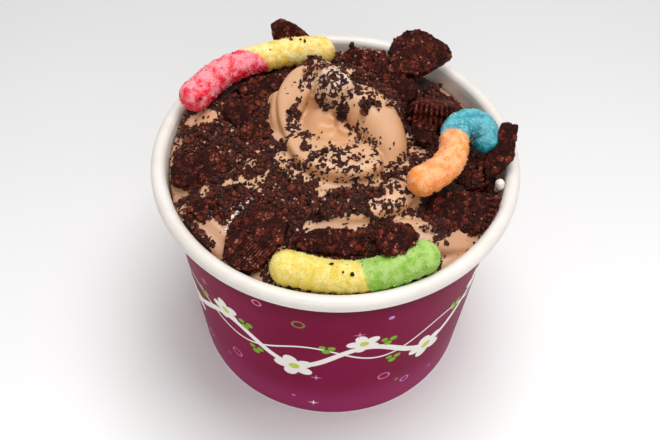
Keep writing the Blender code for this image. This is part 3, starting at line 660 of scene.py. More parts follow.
# how thickly crumbs lie, spot by spot, later ones over earlier: x, y, z, reach, share covered
coverSpots = [
    (0.4, 1.2, 90.1, 19.8, 0.45), (-12.9, 8.1, 95.7, 6, 0.05), (-10.8, 9.6, 97.1, 2.5, 0.22),
    (-16.4, 4, 92.7, 3.5, 0), (-15.6, 1.7, 91.6, 3.5, 0), (-12, 3.7, 93.2, 2.2, 0.75),
    (-12.6, 1.9, 91.6, 2.2, 0.7), (-13, -0.5, 90.4, 2, 0.6), (-10.1, 6.2, 94.3, 2, 0.45),
    (-8.5, 13.5, 98.8, 2.5, 0.7), (-9.4, 11.5, 98.1, 2.2, 0.55), (-9.8, 9, 97, 1.7, 0.45),
    (-8, 7.6, 92.4, 2.3, 0.05), (-1.4, 6.4, 101.7, 5.8, 0.55), (-5, 12.3, 101.4, 2.5, 0.4),
    (2.9, 12.7, 100, 2.5, 0.65), (7, 16.5, 94.1, 3.1, 0.8), (11.1, 15.5, 94, 3.6, 0.8),
    (15.2, 13.3, 92.8, 3.1, 0.85), (5.9, 8.4, 98.2, 2, 0.7), (11.1, -1.6, 93.4, 5.4, 0),
    (15.1, -5.3, 90.4, 4.4, 0), (6.1, 2.1, 95.5, 2.9, 0), (17, -0.9, 92.3, 2.9, 0),
    (15.3, -8.4, 87.4, 2.9, 0), (10, 1, 95.4, 2, 0), (-3.7, 3.8, 94.8, 2.5, 0.85),
    (1.5, 3.5, 94, 2.1, 1), (1.3, 3.3, 90.8, 1.5, 1), (8, 3.3, 97.2, 1.7, 1),
    (7.9, 1.4, 96, 1.1, 1), (11.9, 3.7, 97, 1.4, 1), (12.1, 1.8, 96.4, 0.8, 0.9),
    (9.9, 6, 97.4, 1.5, 0.7), (15.9, -6.2, 89.6, 1.2, 0.3), (6.3, -1, 91.1, 2.2, 0.22),
    (8.4, -3, 89.1, 2.5, 0.38), (4.9, -3.2, 89.2, 2, 0.3), (5.3, 0, 91.5, 1.4, 0.5),
    (3.2, 0.2, 89.1, 1.4, 0.6), (3.7, -3.4, 89.3, 1.2, 0.5), (12, -5.1, 90, 1.4, 0.5),
    (11.2, -8.8, 89.8, 1.4, 0.6), (-4.5, 0.4, 92, 3.4, 0), (-0.5, -1.9, 91.7, 2.9, 0),
    (-7, 0.8, 91.5, 2.5, 0.02), (0.5, -5, 90.8, 1.9, 0.02), (-8.8, -3, 90.1, 1.2, 0.8),
    (-6.7, -4.6, 90.4, 1.4, 0.9), (-2.6, -6.4, 90.7, 1, 0.5), (-10.8, -10.8, 90.1, 2.9, 0.08),
    (-11.9, -7.7, 90.3, 1.9, 0), (-9, -9.1, 90.8, 1.4, 0.8), (-4.8, -5.7, 90.6, 2.4, 0.12),
    (-2.2, -11.6, 90.7, 3.8, 0.45), (-5.5, -12.4, 90.7, 2.1, 0.6), (-0.7, -14.1, 90.7, 2.8, 0.6),
    (3.6, -11.2, 90.5, 2.4, 0.4), (7.9, -13.4, 90.3, 2.9, 0.35), (11.3, -14.9, 89.4, 2.4, 0.35),
    (5.5, -15.9, 90.2, 1.9, 0.45), (7.4, -10.2, 90.3, 1.9, 0.25), (-16.4, -6.3, 87.2, 2.2, 0.75),
    (-15.8, -9.1, 86.6, 1.7, 0.25), (-14.7, -11.3, 86.3, 1.9, 0.4), (-11.2, -12.3, 86.8, 2.4, 0.5),
    (-11.1, -15.3, 85.8, 2.4, 0.5), (-6.8, -15.5, 87.7, 2.4, 0.4), (-2.4, -17, 87.5, 2.9, 0.35),
    (3.7, -17.5, 89, 2.4, 0.35), (8, -17.2, 88.1, 2.4, 0.5), (12.4, -15.3, 85.5, 1.9, 0.5),
    (-4.6, -21.1, 86.3, 1.4, 0.1), (-2.3, -19, 85.4, 1.4, 0.2), (0.5, -18.4, 85.6, 1.3, 0.2),
    (3.3, -18, 86.6, 1.3, 0.3), (16.4, -10.7, 84.9, 2.2, 0.45), (19.3, -9, 85.3, 2.4, 0.35),
    (17.6, -17.2, 86.5, 2.9, 0.4), (18.6, -21.7, 85.3, 2.8, 0.4), (-40.8, 10.5, 82.1, 2.4, 0.03),
    (-44.7, 9.5, 80.8, 2, 0.06), (-37.9, 12.2, 82.2, 1.6, 0.1), (-46.8, 11.2, 81.1, 1, 0.7),
    (-49.3, 3.3, 77.5, 2.4, 0.45), (-46.1, 5.2, 80.6, 1.6, 1), (-40.1, 5.4, 82.9, 2.3, 1),
    (-30.7, 6.1, 83.2, 3.1, 0.8), (-30.9, -11.5, 82.8, 1.8, 0.35), (-31.2, -16.2, 82.6, 1.8, 0.3),
    (-26.8, -15.6, 83.2, 1.5, 0.3), (-23.7, -17.8, 83.7, 2.2, 0.5), (-21.2, -16.8, 84.8, 1.8, 0.5),
    (-25, -10.5, 84.2, 2.2, 0.65), (-29, -8.3, 83.1, 1.1, 0.5), (-46.9, -14.9, 77, 2.6, 0.06),
    (-44.6, -14.4, 78.1, 1.9, 0.04), (-37.6, -18.2, 81.3, 1.5, 0.35),
    (-47, -16.6, 76.6, 2.2, 0.05), (-43.5, -17.1, 78, 1.5, 0.35), (-37.5, -19.4, 81, 1.5, 0.4),
    (-45.2, -21.1, 78.1, 1, 0.95), (-43.1, -22.8, 78.5, 1, 0.6), (-41, -24, 79.5, 1.3, 0.15),
    (-38.3, -28.6, 79.7, 2.2, 0.06), (-35.1, -31.3, 79.9, 2.1, 0.02),
    (-32.5, -33.2, 79.5, 2.1, 0.02), (-32.2, -36.9, 78, 1.8, 0.02),
    (-35.2, -34.5, 79.4, 1.4, 0.05), (-42, -28.1, 78.9, 2.2, 0.95), (-39.9, -31, 78.7, 2.1, 0.95),
    (-37.8, -33.2, 78.7, 2.1, 0.95), (-36.6, -34.9, 78, 2.1, 0.95), (-33.7, -35.9, 78.7, 0.9, 1),
    (-34.7, -36.6, 76.4, 0.9, 1), (-39.6, -22.6, 80.7, 2.2, 0.95), (-35.5, -26.8, 81.6, 2.1, 0.95),
    (-21.2, -44.1, 76.7, 1.7, 0.12), (-19.6, -42.3, 77.9, 1.4, 0.3), (-4.4, -21.8, 86.4, 1.8, 0.1),
    (-2.8, -20.9, 86.1, 1.2, 0.3), (10.1, -16.5, 87.3, 3.3, 0.4), (15.9, -18.4, 86.7, 2.4, 0.4),
    (16.7, -21.2, 85.6, 2, 0.35), (12.7, -25.2, 85.1, 2.8, 0.42), (17.5, -24.6, 84.6, 2, 0.45),
    (18.1, -28.3, 81.5, 1.2, 0.2), (15.5, -26.3, 84, 1.6, 0.6), (-6.4, -31.9, 82.3, 2, 0.15),
    (-2.4, -31.8, 82.3, 2.4, 0.06), (1.6, -31.1, 82.3, 2.4, 0.04), (4.8, -30.1, 82.5, 2.4, 0.06),
    (7.9, -29.1, 83.3, 2, 0.15), (3.1, -29.5, 83.6, 1.6, 0.25), (-7.5, -24.5, 85.8, 3.2, 0.9),
    (4.6, -24.3, 86.8, 3.2, 0.92), (-1.4, -26.5, 85.3, 3.2, 0.95), (-11.4, -26.3, 85.2, 4, 0.85),
    (-14.9, -36.5, 80.5, 1.6, 0.5), (-16.4, -37.8, 80.2, 1.6, 0.4), (0.5, -23.7, 86.1, 0.6, 0.3),
    (28.4, 9.4, 80.3, 2, 0.12), (25.6, 8.2, 81.4, 1.8, 0.35), (24.2, 4.8, 81.6, 1.8, 0.4),
    (24.9, -0.4, 81.5, 2.6, 0.35), (26.1, -6.2, 84.1, 1.7, 0.7), (18.4, -10.2, 85, 2.5, 0.4),
    (18.2, -16.9, 86.3, 2.9, 0.45), (17.7, -21.5, 85.4, 2.8, 0.45), (19.6, -7.5, 85.7, 1.7, 0.5),
    (21.1, -22.3, 84, 2, 0.2), (23.8, -20, 81.4, 1.7, 0.08), (41.5, -5.3, 77.5, 3.5, 0.6),
    (42.4, 1, 77.1, 2.2, 0.7), (16.5, -22.1, 85.4, 2.4, 0.4), (19, -24.5, 83.4, 2.4, 0.4),
    (23.4, -21, 81.3, 2.1, 0.12), (18.3, -27.8, 81.6, 1.6, 0.35), (22.3, -28.8, 82.4, 2.4, 0.05),
    (25, -31.3, 82.5, 2.4, 0.1), (27, -33.2, 81.7, 1.6, 0.14), (24.9, -33.8, 81.7, 1.6, 0.08),
    (31.9, -32.5, 80.5, 2, 0.8), (30.6, -35.3, 80.1, 2, 0.35), (34.5, -32.4, 79.2, 2.4, 0.06),
    (33.2, -35, 78.5, 2.4, 0.04), (36.3, -30.9, 78.6, 1.6, 0.03), (37.9, -32.8, 77.2, 2, 0.03),
    (40.6, -30.7, 76.6, 1.6, 0.08), (40, -30.8, 76.7, 0.5, 0.9), (38.2, -33.5, 76.5, 0.4, 0.9),
    (33.8, -37.8, 75.7, 2, 0), (33.5, 33.6, 75, 2.2, 0.05), (35.3, 32, 74.7, 1.4, 0.1),
    (27.5, 12.4, 80.1, 2, 0.12), (25.5, 9.3, 81.2, 1.8, 0.5), (-1.8, 7.5, 102, 3.8, 0.74),
    (-6.4, 6.2, 96.3, 0.9, 0.9), (-4.9, 5.3, 95.6, 1, 0.95), (-2.8, 3.7, 96.5, 1, 0.9),
    (-0.8, 3, 97.2, 0.9, 0.9), (1.5, 5, 96.6, 0.9, 0.95), (3.5, 5.6, 97.7, 0.9, 0.9),
    (5, 7.5, 98.4, 0.9, 0.85), (-5.2, 5.2, 94.5, 1.1, 0.95), (-3.4, 3.5, 94.6, 1.1, 0.95),
    (-1.6, 2.9, 95.3, 0.7, 0.8), (1.3, 3.7, 95.4, 0.9, 1), (1.7, 3.3, 93.4, 0.8, 1),
    (1.7, 3.1, 91.1, 0.7, 1), (7.6, 4.5, 98.1, 0.9, 0.95), (8, 2.8, 97, 0.8, 1),
    (8.3, 1.5, 96.2, 0.5, 1), (11.5, 4.2, 97, 0.9, 0.95), (12.1, 2.1, 96.6, 0.6, 1),
    (-3.9, -28.9, 84.3, 1.4, 0.9), (-0.3, -28.4, 85.1, 1.4, 0.9), (3.3, -27.9, 85.6, 1.4, 0.9),
    (6.7, -27.3, 85.4, 1.1, 0.85), (9.2, -27.9, 85, 1.1, 0.8), (-7.7, -31.9, 82.3, 1, 0.2),
    (-3, -31.1, 82.6, 1, 0.15), (1.8, -29.9, 83.1, 1, 0.15), (5.9, -29.2, 83.7, 0.8, 0.2),
    (28.9, -33.3, 82.1, 1.3, 0.75), (26.9, -34.4, 81.6, 0.7, 0.6), (31.5, -34, 80.4, 0.8, 0.6),
    (25.5, -31.6, 82.5, 0.6, 0.5), (23.6, -30, 82.5, 0.6, 0.4), (37.9, -33.7, 76.6, 0.3, 0.8),
    (40.1, -31.1, 76.6, 0.3, 0.8), (42.1, -28.9, 75.7, 0.4, 0.8), (21.4, -34.1, 80.9, 1.1, 0.6),
    (-15.4, 9.1, 95.6, 1.2, 0.22), (-13.1, 10.8, 96.9, 1.2, 0.25), (-11.4, 12.4, 97.9, 1.1, 0.3),
    (-16.8, 7.2, 94.5, 0.9, 0.15), (-10.2, -13.4, 86.8, 1.4, 0.5), (-6.7, -15.5, 87.6, 1.4, 0.5),
    (-2.9, -16.7, 89, 1.4, 0.5), (0.8, -17.1, 89.7, 1.4, 0.45), (4.1, -16.5, 90, 1.4, 0.45),
    (7.5, -15.6, 90, 1.4, 0.45), (10.9, -14.4, 89.8, 1.4, 0.45), (-8.4, -16.3, 85.8, 1.1, 0.4),
    (-4.3, -17.1, 86, 1.1, 0.35), (0.3, -17.7, 87, 1.1, 0.4), (-12.7, -10.7, 87.1, 1.2, 0.5),
    (-38.5, -4.3, 82.4, 0.9, 0.6), (-23.3, -5.9, 84.8, 1, 0.55), (-26, -9.2, 84, 1.2, 0.5),
    (-31.4, -14.1, 83.4, 0.9, 0.5), (-28.6, -16.7, 83.1, 1, 0.5), (-24.5, -16.9, 83.5, 0.9, 0.5),
    (-21.3, -20.2, 84.4, 0.9, 0.5), (-21, 4.5, 87, 0.9, 0.55), (-29.7, 8.6, 83.8, 0.9, 0.55),
    (-31.3, 6.1, 83.3, 0.8, 0.55), (-19.4, -14.7, 86, 0.9, 0.6), (-16.8, -18.9, 85.7, 0.9, 0.6),
    (-37.1, 2.9, 82.8, 0.9, 0.6),
]


def crumbCover(points):
    # the share covered at each point: a thick carpet, then each spot laid over it; a spot's
    # weight steps down where the distance over its reach, plus noise, passes 1
    start, end, loss = carpet["wall"]
    cover = np.full(len(points), carpet["share"])
    cover -= loss * smoothStep(start, end, np.hypot(points[:, 0], points[:, 1]))
    size, depth = carpet["ragged"]
    ragged = depth * latticeNoise(points, size, 5)
    for x, y, z, reach, share in coverSpots:
        gap = np.linalg.norm((points - (x, y, z)) * (1, 1, 0.8), axis=1) / reach
        end, start, torn = carpet["edge" if share > carpet["bare"] else "bareEdge"]
        weight = smoothStep(end, start, gap + torn * ragged)
        cover += (share - cover) * weight
    return cover


def onTip(points):
    # 1 on the ball-shaped tip of the swirl, falling to 0 round it
    gap = np.linalg.norm(points - yogurt["tipCentre"], axis=1)
    return smoothStep(*yogurt["tipFade"], gap)


def crumbHeaps(points, cover):
    # 1 where crumbs lie: flakes of two sizes, one to a noise cell; as the share covered grows,
    # more of the cells have one, and it fills more of its cell
    size, depth = carpet["flakeRagged"]
    ragged = depth * latticeNoise(points, size, 75)
    (least, more), (soft, even) = carpet["flakeReach"], carpet["flakeSoft"]
    heaps = np.zeros(len(points))
    amounts = (1 - onTip(points), 1.0)
    for size, amount, seed in zip(carpet["flakes"], amounts, (71, 72)):
        gap, tone = cellNoise(points, size, seed)[::2]
        flake = smoothStep(soft, -soft, gap + ragged - (least + more * cover))
        flake = flake * smoothStep(even, -even, tone - carpet["flakeChance"] * cover)
        heaps = np.maximum(heaps, flake * amount)
    return heaps


def paintYogurt():
    paint = Paint("chocolateYogurt", Subsurface_Weight=0.25, Subsurface_Scale=0.002,
                  Subsurface_Radius=(1.0, 0.5, 0.3), Specular_IOR_Level=0.4)
    lit, cover = paint.attribute("lit"), paint.attribute("cover")
    tone = paint.noise(9, 3).between(0.3, 0.72).blend(srgb(208, 155, 110), srgb(197, 141, 96))
    # painted light: skin that faces up is painted paler, and the tip paler still as a painted
    # highlight
    tone = lit.between(0.45, 0.95).blend(tone, srgb(209, 163, 127))
    tone = lit.between(1.0, 1.5).blend(tone, srgb(220, 194, 176))
    # painted shade: darker by the wall, where the wall shades the skin
    x, y = paint.parts(paint.place)[:2]
    shore = ((x * x + y * y) ** 0.5).between(37, 47) * 0.6
    tone = shore.blend(tone, srgb(186, 138, 108))
    grain = paint.noise(0.55, 3, 0.6)
    dirt = (cover + (grain - 0.5) * 0.9).between(0.46, 0.62)
    soil = paint.noise(0.9, 4).between(0.35, 0.7).blend(srgb(28, 12, 9), srgb(70, 32, 22))
    soft = paint.bump(paint.noise(2.6, 4), 0.22, 0.35)
    return paint.finish(dirt.blend(tone, soil), dirt * 0.35 + paint.noise(1.5, 3) * 0.14 + 0.32,
                        paint.bump(grain * dirt, 0.5, 0.8, soft))


def joinShapes(shapes):
    # several closed grids as one list of points and faces
    points, faces, first = [], [], 0
    for shapePoints, shapeFaces in shapes:
        points.append(shapePoints)
        faces += [group + first for group in shapeFaces]
        first += len(shapePoints)
    return np.vstack(points), faces


def moundShape(bottom):
    # a closed cap from the wall inwards, with its flat underside
    columns, (low, high) = yogurt["moundColumns"], yogurt["moundRings"]
    angle = np.linspace(0, math.tau, columns, endpoint=False)
    edge = innerWall(yogurt["edgeHeight"]) - yogurt["wallGap"]
    underside = np.linspace(0.15, 1, low) * (innerWall(bottom) - yogurt["wallGap"])
    reach = np.concatenate([underside, [edge], edge * np.linspace(0.985, 0.02, high)])
    x, y = reach[:, None] * np.cos(angle), reach[:, None] * np.sin(angle)
    height = moundHeight(x, y)
    height[:low] = bottom
    height[low] = height[low + 1] - yogurt["edgeDrop"]
    ends = np.array([[0, 0, bottom], [0, 0, moundHeight(0.0, 0.0)]])
    points = np.vstack([np.stack([x, y, height], -1).reshape(-1, 3), ends])
    return points, closedGrid(len(reach), columns)


def modified(piece, kind, **settings):
    # applies one modifier
    modifier = piece.modifiers.new("step", kind)
    for key, value in settings.items():
        setattr(modifier, key, value)
    bpy.context.view_layer.update()
    scene = bpy.context.evaluated_depsgraph_get()
    mesh = bpy.data.meshes.new_from_object(piece.evaluated_get(scene))
    piece.modifiers.clear()
    old, piece.data = piece.data, mesh
    bpy.data.meshes.remove(old)


def flatUnderside(piece, bottom):
    # the remesh fills the flat underside with small faces: one fan of triangles takes their place
    points = pointsOf(piece.data)
    corner = np.empty(len(piece.data.loops), np.int32)
    piece.data.loops.foreach_get("vertex_index", corner)
    quads = corner.reshape(-1, 4)
    low = (points[quads][:, :, 2] < bottom + 0.2).all(1)
    edges = np.stack([quads[low], np.roll(quads[low], -1, 1)], -1).reshape(-1, 2)
    where, counts = np.unique(np.sort(edges, 1), axis=0, return_index=True,
                              return_counts=True)[1:]
    rim = edges[where[counts == 1]]
    fan = np.stack([rim[:, 0], rim[:, 1], np.full(len(rim), len(points))], 1)
    points = np.vstack([points, [[0, 0, bottom]]])
    kept = quads[~low]
    used = np.unique(np.concatenate([kept.ravel(), fan.ravel()]))
    index = np.zeros(len(points), np.int64)
    index[used] = np.arange(len(used))
    old = piece.data
    bpy.data.objects.remove(piece)
    bpy.data.meshes.remove(old)
    return newPiece("yogurtSkin", points[used], [index[kept], index[fan]], "yogurt",
                    [yogurtPaint], ["yogurt"])


def strandShape(name, rows):
    def fluted(angle, along):
        # the radius swells with the cosine of so many times the angle
        return 1 + yogurt["fluteDepth"] * np.cos(yogurt["flutes"] * angle)

    def squared(angle, along):
        # a superellipse: the fourth powers of the two shares add up to one
        return (np.cos(angle) ** 4 + np.sin(angle) ** 4) ** -0.25

    shape = squared if name in squareStrands else None if name in roundStrands else fluted
    line = splineThrough(rows, yogurt["strandSteps"])
    return strandSurface(line[:, :3], line[:, 3], line[:, 4], yogurt["strandColumns"], shape)[:2]


def buildYogurt():
    bottom = yogurt["skinBottom"]
    strands = [strandShape(name, rows) for name, rows in yogurtStrands.items()]
    points, faces = joinShapes([moundShape(bottom)] + strands)
    piece = newPiece("yogurtDraft", points, faces, "yogurt", [yogurtPaint], ["yogurt"])
    modified(piece, "REMESH", mode="VOXEL", voxel_size=yogurt["voxel"] * mm)
    modified(piece, "SMOOTH", factor=0.5, iterations=3)
    piece = flatUnderside(piece, bottom)
    points, normals = pointsOf(piece.data), normalsOf(piece.data)
    share = crumbCover(points) * smoothStep(*carpet["slide"], normals[:, 2])
    cover = crumbHeaps(points, share)
    # crumbs heap up where they are thick; bare yogurt keeps soft ripples
    thick = smoothStep(*carpet["thick"], share)
    thin, heap, rough, size = carpet["relief"]
    relief = cover * (thin + thick * (heap + rough * roughNoise(points, size, 3, 3)))
    depth, size = carpet["ripples"]
    relief = relief + (1 - cover) * depth * latticeNoise(points, size, 1)
    gap = innerWall(points[:, 2]) - np.hypot(points[:, 0], points[:, 1])
    relief = relief * smoothStep(*yogurt["edgeCalm"], gap) * (points[:, 2] > bottom)
    points += normals * relief[:, None]
    wall = innerWall(np.minimum(points[:, 2], yogurt["edgeHeight"] - 0.5)) - yogurt["edgeGap"]
    reach = np.hypot(points[:, 0], points[:, 1])
    points[:, :2] *= np.minimum(1, wall / np.maximum(reach, 1e-6))[:, None]
    setPoints(piece.data, points)
    # lit: painted light on skin that faces up, none in the shaded hollow under the tip, and a
    # painted highlight on the tip
    gap = np.linalg.norm(points - yogurt["hollowCentre"], axis=1)
    shadedHollow = np.exp(-(gap / yogurt["hollowReach"]) ** 2)
    addValues(piece, cover=cover, lit=normals[:, 2] * (1 - shadedHollow) + 0.6 * onTip(points))
    # the plain fill below the skin
    height = np.array(yogurt["fillHeights"])
    points, faces = turned((innerWall(height) - yogurt["wallGap"])[:, None], height[:, None],
                           yogurt["fillColumns"])
    newPiece("yogurtFill", points, faces, "yogurt", [yogurtPaint])
    return piece


print("yogurt")
yogurtPaint = paintYogurt()
yogurtPiece = buildYogurt()


# broken cookies: each solid, roughened into crumbling baked dough

cookie = {
    "voxel": 0.40,
    "wear": 0.50,               # how far the broken skin moves
    "wearSize": 3.4,
    "lump": 1.9,                # size of the crumbly lumps
    "lumpRise": 0.85,
    "pit": 1.5,
    "pitDepth": 0.7,
    "grain": 0.9,               # size of the fine grain
    "linePitch": 0.80,          # of the lines pressed in a wafer's face
    "flutePitch": 1.75,         # of the flutes round a wafer's edge
    "panel": 6.0,               # size of the patches where the pressed lines are clear
}
pressedFaces = {                # direction of the pressed lines in degrees, and how clear they are
    "cookie_front_left": (-42, 1.0), "cookie_front_right": (10, 0.5),
    "cookie_back_slab": (60, 0.3), "cookie_left_slab": (25, 0.35),
    "cookie_left_upper": (60, 0.35), "cookie_right_shard": (10, 0.3),
}
flutedEdges = {                 # x and y of the whole wafer's middle, and the flutes' depth
    "cookie_ridged": (29.6, 33.0, 0.50), "cookie_front_right": (27.5, -20.5, 0.36),
}
smoothPieces = {                # share of the wear a smoother piece gets
    "cookie_dark_flake": 0.15, "cookie_back_shard": 0.2, "cookie_ridged": 0.22,
    "cookie_front_left": 0.7, "cookie_back_slab": 0.5, "cookie_right_shard": 0.6,
    "cookie_left_slab": 0.6, "cookie_front_right": 0.6, "cookie_left_upper": 0.55,
    "cookie_left_middle": 0.7,
}
pieceTones = {                  # how much lighter or darker a piece is than the usual one
    "cookie_dark_flake": -0.3, "cookie_back_shard": -0.15, "cookie_right_shard": -0.12,
    "cookie_left_upper": -0.1, "cookie_left_slab": -0.08, "cookie_front_right": -0.1,
    "cookie_ridged": 0.08, "cookie_back_rubble": 0.14, "cookie_front_clump": 0.1,
    "cookie_left_middle": 0.05,
}
crumbsOn = {                    # share of crumbs that stay on a piece, if not the usual one
    "cookie_dark_flake": 0.1, "cookie_back_shard": 0.05, "cookie_ridged": 0.08,
    "cookie_front_left": 0.5, "cookie_back_slab": 0.4, "cookie_right_shard": 0.2,
    "cookie_front_right": 0.35, "cookie_left_slab": 0.25, "cookie_left_upper": 0.2,
    "cookie_left_middle": 0.4, "cookie_left_back": 0.5, "cookie_left_lower": 0.4,
    "cookie_front_clump": 0.3, "cookie_front_rubble": 0.7,
}


def paintCookie():
    paint = Paint("cocoaCookie", Specular_IOR_Level=0.09)
    lump, press = paint.attribute("lump"), paint.attribute("press")
    fine = paint.noise(0.9, 5, 0.62)
    # painted light and shade: the lump value makes raised parts lighter and cracks and pits
    # darker, mixed with random fine grain
    colour = (fine * 0.9 + lump * 0.45).between(0.36, 1.05)
    colour = colour.blend(srgb(33, 8, 5), srgb(120, 46, 30))
    patches = paint.noise(5.5, 4).between(0.42, 0.78) * lump.between(0.15, 0.7) * 0.45
    colour = patches.blend(colour, srgb(104, 36, 25))
    # painted glints: pale flecks on the raised lumps
    grains = paint.parts(paint.cells(0.42, "F1", 1))[0].between(0.86, 0.96)
    colour = (grains * lump.between(0.3, 0.8) * 0.6).blend(colour, srgb(198, 150, 130))
    # pressed lines: painted shade in their grooves, painted light on their ridges
    wave = (paint.attribute("line") * (math.tau / cookie["linePitch"])).math("SINE")
    groove, ridge = wave.between(0.1, 0.8) * press, wave.below(-0.95, -0.5) * press
    colour = (groove * 0.6).blend(colour, srgb(26, 9, 6))
    colour = (ridge * fine.between(0.4, 0.7) * 0.4).blend(colour, srgb(158, 92, 72))
    crackle = paint.cells(0.8, "DISTANCE_TO_EDGE").below(0.02, 0.18)
    rough = paint.bump(fine - groove * 0.5, 0.6, 0.9)
    return paint.finish(colour, fine * 0.5 + 0.16, paint.bump(crackle * -1, 0.2, 0.6, rough))


def faceOf(points):
    # the flat way of a slab: its thinnest direction, turned to look up, and two across it
    spread = points - points.mean(0)
    ways = np.linalg.eigh(spread.T @ spread)[1]
    up = ways[:, 0] * (1 if ways[2, 0] > 0 else -1)
    across = np.cross([0.0, 1.0, 0.0], up)
    across /= np.linalg.norm(across)
    return up, across, np.cross(up, across)


def mergedCopy(node, name):
    # a CAD node's loose triangles, merged into one closed mesh, as a new object
    mesh = bmesh.new()
    mesh.from_mesh(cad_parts[node].data)
    bmesh.ops.remove_doubles(mesh, verts=mesh.verts, dist=1e-6)
    data = bpy.data.meshes.new(name)
    mesh.to_mesh(data)
    mesh.free()
    piece = bpy.data.objects.new(name, data)
    bpy.context.scene.collection.objects.link(piece)
    return piece


def cookieRelief(name, points, normals, seed):
    # outward move of each point: noise, lumps and pits, then the flutes of a wafer's edge
    up, across, along = faceOf(points)
    flat = smoothStep(0.55, 0.9, normals @ up)
    calm = smoothPieces.get(name, 1.0)
    degrees, press = pressedFaces.get(name, (0, 0))
    warp = np.stack([latticeNoise(points, 1.4, 60 + k) for k in range(3)], 1)
    split, tone = cellNoise(points + 0.5 * warp, cookie["lump"], seed)[1:]
    lumps = (tone - 0.5) * smoothStep(0.0, 0.35, split) - 0.5 * smoothStep(0.25, 0.0, split)
    move = cookie["wear"] * (roughNoise(points, cookie["wearSize"], 4, seed) - 0.15)
    move += cookie["lumpRise"] * lumps
    pits = np.clip(latticeNoise(points, cookie["pit"], seed + 40) - 0.35, 0, 1)
    move = (move - cookie["pitDepth"] * pits) * (calm * (1 - (0.25 + 0.5 * press) * flat))
    ribs = 0.0
    if name in flutedEdges:
        # the flutes follow the cosine of the turn round the whole wafer's middle
        x, y, depth = flutedEdges[name]
        dx, dy = points[:, 0] - x, points[:, 1] - y
        reach, turn = np.hypot(dx, dy), np.arctan2(dy, dx)
        outer = np.percentile(reach, 97)
        count = round(math.tau * outer / cookie["flutePitch"])
        ribs = np.clip(np.cos(turn * count) * 1.5, -1, 1)
        ribs = ribs * smoothStep(outer - 4.5, outer - 2.0, reach)
        move += depth * ribs
    # painted light and shade: raised lumps and flute ridges are painted lighter, cracks, pits and
    # flute grooves darker; random tone, grain and each piece's own tone are added
    grain = 0.25 * roughNoise(points, cookie["grain"], 2, seed + 50)
    height = smoothStep(-0.35, 0.35, lumps) * 0.6 + 0.2 * tone
    height += pieceTones.get(name, 0.0) + 0.28 * ribs
    heading = across * math.cos(math.radians(degrees)) + along * math.sin(math.radians(degrees))
    panels = smoothStep(-0.2, 0.15, latticeNoise(points, cookie["panel"], seed + 3))
    return move + 0.3 * calm * grain, {
        "lump": np.clip(height + 0.35 * move + 0.5 * grain, 0, 1),
        "line": points @ heading, "press": press * panels * flat}


def buildCookies():
    material = paintCookie()
    pieces = {}
    for index, name in enumerate(sorted(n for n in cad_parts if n.startswith("cookie"))):
        piece = mergedCopy(name, "broken" + name.title().replace("_", ""))
        modified(piece, "REMESH", mode="VOXEL", voxel_size=cookie["voxel"] * mm)
        modified(piece, "SMOOTH", factor=0.5, iterations=2)
        points, normals = pointsOf(piece.data), normalsOf(piece.data)
        move, values = cookieRelief(name, points, normals, index)
        setPoints(piece.data, points + normals * move[:, None])
        addValues(piece, **values)
        pieces[name] = dress(piece, [material], [name])
    return pieces


print("cookies")
cookiePieces = buildCookies()


# gummy worms

worms = {                       # first and second: the gummy's two colours, and the sugar's
    "worm_red_yellow": {
        "path": [(-44.0, 16.0, 86.0), (-36.5, 26.5, 86.2), (-25.5, 33.5, 86.2),
                 (-14.5, 37.8, 85.8), (-6.5, 39.2, 85.2)],
        "girths": (1.05, 1.00, 0.96, 1.00, 1.05), "change": 0.44, "seam": 0.10,
        "frostCover": 0.74, "first": (232, 2, 44), "second": (242, 200, 66),
        "frost": (254, 176, 186), "frostSecond": (254, 240, 178)},
    "worm_orange_blue": {
        "path": [(24.8, -18.4, 88.5), (28.6, -16.4, 89.2), (32.3, -12.6, 90.0),
                 (34.0, -7.7, 90.7), (34.4, -2.8, 91.0), (36.1, 1.6, 90.8), (39.8, 3.8, 90.1),
                 (43.5, 3.3, 88.4), (44.6, 0.9, 86.2)],
        "girths": (0.95, 0.92, 0.86, 0.86, 0.88, 0.84), "change": 0.475, "seam": -0.05,
        "frostCover": 0.6, "first": (250, 146, 62), "second": (10, 148, 166),
        "frost": (254, 206, 158), "frostSecond": (140, 212, 218)},
    "worm_yellow_green": {
        "path": [(-12.2, -43.8, 79.5), (-3.0, -45.5, 79.0), (6.5, -45.7, 79.0),
                 (15.5, -44.0, 79.8), (24.5, -40.0, 81.2)],
        "girths": (1.05, 1.00, 0.96, 1.00, 1.05), "change": 0.54, "seam": 0.04,
        "frostCover": 0.6, "first": (230, 204, 78), "second": (134, 184, 48),
        "frost": (248, 236, 158), "frostSecond": (198, 222, 140)},
}
wormShape = {
    "radius": 4.8, "ribs": 13, "ribDepth": 0.045, "columns": 72, "steps": 190,
    "ribShare": (0.35, 1.1),    # of the ribs' depth on top, and how much more underneath
    "flat": 0.08,               # how much less the radius is underneath
    "dents": (0.12, 1.3),       # depth and size
    "seamHalf": 0.022,          # half width of the change of colour, as a share of the length
    "seamRagged": 0.05,
}
sugar = {
    "perWorm": 3000, "size": (0.07, 0.17), "flatten": (0.62, 1.0), "jitter": 0.24,
    "spread": 0.12, "sink": 0.3, "seed": 41,
    "slope": -0.35,             # none where the skin faces down more than this
}


def wormColours(paint, spec):
    # the gummy and the sugar on it, first colour to second, with a slanted, slightly ragged seam
    ragged = (paint.noise(2.5, 3) - 0.5) * wormShape["seamRagged"]
    along = paint.attribute("along") + ragged
    along = along + paint.attribute("across") * spec["seam"]
    half = wormShape["seamHalf"]
    change = along.between(spec["change"] - half, spec["change"] + half)
    return (change.blend(srgb(*spec["first"]), srgb(*spec["second"])),
            change.blend(srgb(*spec["frost"]), srgb(*spec["frostSecond"])))


